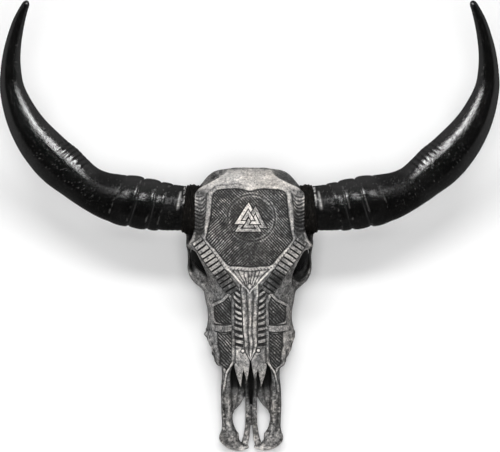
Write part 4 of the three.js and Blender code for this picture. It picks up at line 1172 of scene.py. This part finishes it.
for side, name in ((1, "right"), (-1, "left")):
    pts, quads, ends, T, F = sweep(HORN_LINE, HORN_WIDTH, HORN_DEPTH, 460, 112, 2.1, horn_ripple(70), side, TIP_ROUND)
    base = 0.0026 + 0.0016 * fbm(pts, 30, 75)
    turn = np.degrees(F)
    # painted highlight: a light band and a thin light line on part of the sheath's base edge, next to the collar
    wear_and_painted_highlight = ss(0.0065, 0.0035, T) * ss(92, 104, turn) * ss(168, 150, turn) * ss(-0.1, 0.5, noise(pts, 2.8, 76))
    wear_and_painted_highlight += 0.9 * np.exp(-(((T - 0.0125) / 0.0016) ** 2)) * ss(84, 96, turn) * ss(140, 128, turn) * np.clip(0.85 + 0.5 * noise(pts, 4.0, 78), 0, 1)
    lean = T - 0.0118 * np.cos(F) * ss(0.0, 0.06, T)
    edges = sum(np.exp(-(((lean - at - 0.006) / 0.0024) ** 2)) for at, _ in LINES)
    dust = ss(0.45, 0.8, noise(pts, 2.2, 77)) * (0.4 + 0.6 * ss(0.2, -0.6, np.cos(F)))
    base = base + 0.55 * wear_and_painted_highlight + 0.024 * dust + 0.05 * edges * ss(0.0, 0.5, noise(pts, 5.0, 79)) * ss(0.0, 0.5, np.sin(F))
    cuts = np.maximum(np.cos(2 * math.pi * (T + 0.014 * F) / 0.0185), 0.0) ** 2 * ss(104, 124, turn) * ss(200, 180, turn) * ss(0.325, 0.35, T) * ss(0.485, 0.45, T)
    base = base + 0.05 * ss(0.55, 0.85, noise(pts, 2.0, 82)) * ss(0.22, 0.30, T) * ss(0.56, 0.48, T) * ss(52, 66, turn) * ss(108, 96, turn)
    base = base + 0.0035 * ss(0.058, 0.040, T) * np.clip(0.6 + 0.9 * noise(pts * np.array([1.0, 0.35, 0.35]), 2.4, 80), 0, 1.6)
    pts = leaned(pts, lambda x: 1.0 - ss(123.4, 150.0, x))
    matt = 0.7 * ss(0.064, 0.036, T) + 0.8 * ss(0.16, 0.23, T) * ss(0.335, 0.285, T)
    matt = np.maximum(matt, 1.4 * cuts * np.clip(0.85 + 0.6 * noise(pts, 14, 83), 0, 1))
    horn = make_mesh("horn_" + name + "_sheath", to_world(pts), quads, ends, np.clip(base, 0.0015, 0.6)[:, None] * np.array([1.0, 0.985, 0.965]), {"along": T * 10.0, "round": np.cos(F), "round2": np.sin(F), "matt": matt})
    horn.data.materials.append(HORN)
    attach(horn, "root")
    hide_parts("horn_" + name)
    pts, quads, ends, T, F = sweep([[97.6, HORN_Y - 2.6, HORN_Z], [110, HORN_Y - 2.6, HORN_Z], [123.0, HORN_Y - 2.6, HORN_Z]], [44.2, 44.4, 43.8, 43.0], [31.6, 32.0, 31.6, 31.2], 36, 160, 2.3, collar_ripple(90), side)
    pts[:, 1] += 3.6 * ss(113.0, 123.0, np.abs(pts[:, 0])) * ss(-14.0, -38.0, pts[:, 1] - HORN_Y)
    tuck = ss(112.0, 97.6, np.abs(pts[:, 0])) * ss(26.0, 40.0, pts[:, 1] - HORN_Y)  # the upper edge runs in beside the poll
    pts = leaned(pts, lambda x: ss(98.5, 123.0, x))
    pts = pts - np.stack([np.sign(pts[:, 0]) * 8.0 * tuck, 1.0 * tuck, 0.0 * tuck], axis=1)
    collar = make_mesh("core_collar_" + name, to_world(pts), quads, ends)
    collar.data.materials.append(COLLAR)
    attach(collar, "root")
    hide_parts("horn_core_" + name)

# ---------------------------------------------------------------------------------------------------
# Floor, light and camera
# ---------------------------------------------------------------------------------------------------
floor_mesh = bpy.data.meshes.new("floor")
floor_mesh.from_pydata([(-6, -6, -0.0002), (6, -6, -0.0002), (6, 6, -0.0002), (-6, 6, -0.0002)], [], [(0, 1, 2, 3)])
floor = bpy.data.objects.new("floor", floor_mesh)
bpy.context.scene.collection.objects.link(floor)
pale = Nodes("pale_floor")
at = pale.node("ShaderNodeTexCoord").outputs["Object"]
cloud = pale.node("ShaderNodeTexNoise", {"Vector": at, "Scale": 3.0, "Detail": 2.0}).outputs["Fac"]
pale.to(pale.ramp(cloud, [(0.3, (0.90, 0.90, 0.90)), (0.7, (0.92, 0.92, 0.92))]), "Base Color")
pale.shader.inputs["Roughness"].default_value = 0.9
pale.shader.inputs["Specular IOR Level"].default_value = 0.1
side_seen = pale.node("ShaderNodeNewGeometry").outputs["Backfacing"]
clear = pale.node("ShaderNodeBsdfTransparent").outputs[0]
open_below = pale.node("ShaderNodeMixShader", {0: side_seen, 1: pale.shader.outputs[0], 2: clear}).outputs[0]
pale.tree.links.new(open_below, pale.tree.nodes["Material Output"].inputs["Surface"])
floor.data.materials.append(pale.mat)
floor.visible_glossy = False

scene = bpy.context.scene
world = bpy.data.worlds.new("studio")
scene.world = world
world.use_nodes = True
world.node_tree.nodes["Background"].inputs["Color"].default_value = (1, 1, 1, 1)
ray = world.node_tree.nodes.new("ShaderNodeLightPath")
way = world.node_tree.nodes.new("ShaderNodeVectorMath")  # how far a direction leans from straight out of the face
way.operation = "DOT_PRODUCT"
world.node_tree.links.new(world.node_tree.nodes.new("ShaderNodeTexCoord").outputs["Generated"], way.inputs[0])
way.inputs[1].default_value = AXES @ Vector((0.0, 0.0, 1.0))
lean_range = world.node_tree.nodes.new("ShaderNodeMapRange")
lean_range.inputs["From Min"].default_value = -1.0
world.node_tree.links.new(way.outputs["Value"], lean_range.inputs["Value"])
glow = world.node_tree.nodes.new("ShaderNodeValToRGB")  # in reflections: dark overhead, pale walls, dim floor
stops = [(0.0, 0.16), (0.20, 0.20), (0.42, 0.55), (0.80, 0.55), (0.87, 0.05), (1.0, 0.04)]
while len(glow.color_ramp.elements) < len(stops):
    glow.color_ramp.elements.new(0.5)
for el, (at_share, level) in zip(glow.color_ramp.elements, stops):
    el.position = at_share
    el.color = (level, level, level, 1)
world.node_tree.links.new(lean_range.outputs["Result"], glow.inputs["Fac"])
dim = world.node_tree.nodes.new("ShaderNodeMapRange")
dim.inputs["To Min"].default_value = 0.16
parts_of_way = world.node_tree.nodes.new("ShaderNodeSeparateXYZ")
world.node_tree.links.new(way.inputs[0].links[0].from_socket, parts_of_way.inputs[0])
low_side = world.node_tree.nodes.new("ShaderNodeMapRange")  # the wall towards the nose is dimmer
low_side.inputs["From Min"].default_value = -0.25
low_side.inputs["From Max"].default_value = -0.75
low_side.inputs["To Min"].default_value = 1.0
low_side.inputs["To Max"].default_value = 0.2
world.node_tree.links.new(parts_of_way.outputs["Y"], low_side.inputs["Value"])
level = world.node_tree.nodes.new("ShaderNodeMath")
level.operation = "MULTIPLY"
world.node_tree.links.new(glow.outputs["Color"], level.inputs[0])
world.node_tree.links.new(low_side.outputs["Result"], level.inputs[1])
world.node_tree.links.new(level.outputs[0], dim.inputs["To Max"])
world.node_tree.links.new(ray.outputs["Is Glossy Ray"], dim.inputs["Value"])
world.node_tree.links.new(dim.outputs["Result"], world.node_tree.nodes["Background"].inputs["Strength"])


def softbox(name, place, aim, size, power, gleam=False, beam=180):
    data = bpy.data.lights.new(name, "AREA")
    data.shape = "RECTANGLE"
    data.size, data.size_y = size
    data.energy = power
    data.spread = math.radians(beam)
    ob = bpy.data.objects.new(name, data)
    ob.location = spot(*place)
    ob.rotation_euler = (spot(*aim) - ob.location).to_track_quat("-Z", "Y").to_euler()
    ob.visible_glossy = gleam
    ob.visible_diffuse = not gleam
    scene.collection.objects.link(ob)


softbox("key", (0, 1900, 2100), (0, 420, 0), (1.9, 0.5), 36)
softbox("left", (-1900, 500, 1500), (0, 400, 0), (0.9, 1.9), 8)
softbox("right", (1900, 500, 1500), (0, 400, 0), (0.9, 1.9), 8)
softbox("nose", (0, -1200, 1700), (0, 350, 0), (1.8, 0.6), 6)
softbox("front", (0, 400, 4300), (0, 400, 0), (1.6, 1.6), 94)
softbox("gleam_left", (-700, 1640, 2150), (378, 565, -45), (0.7, 0.7), 1.75, True, 26)
softbox("gleam_right", (700, 1640, 2150), (-378, 565, -45), (0.7, 0.7), 1.75, True, 26)
softbox("gleam_top", (0, 1900, 2100), (0, 420, 0), (1.2, 0.4), 6, True)

cam_data = bpy.data.cameras.new("camera")
cam_data.sensor_fit = "HORIZONTAL"
cam_data.sensor_width = 36.0
DISTANCE = 5000.0
cam_data.lens = 36.0 * DISTANCE / (500 * UNIT)
cam_data.clip_end = 50
cam = bpy.data.objects.new("camera", cam_data)
look = ((250.0 - MID) * UNIT, (NOSE - 226.0) * UNIT)
cam.matrix_world = Matrix.Translation(spot(look[0], look[1], DISTANCE)) @ AXES.to_4x4()
scene.collection.objects.link(cam)
scene.camera = cam
scene.view_settings.view_transform = "Standard"

bpy.context.view_layer.update()
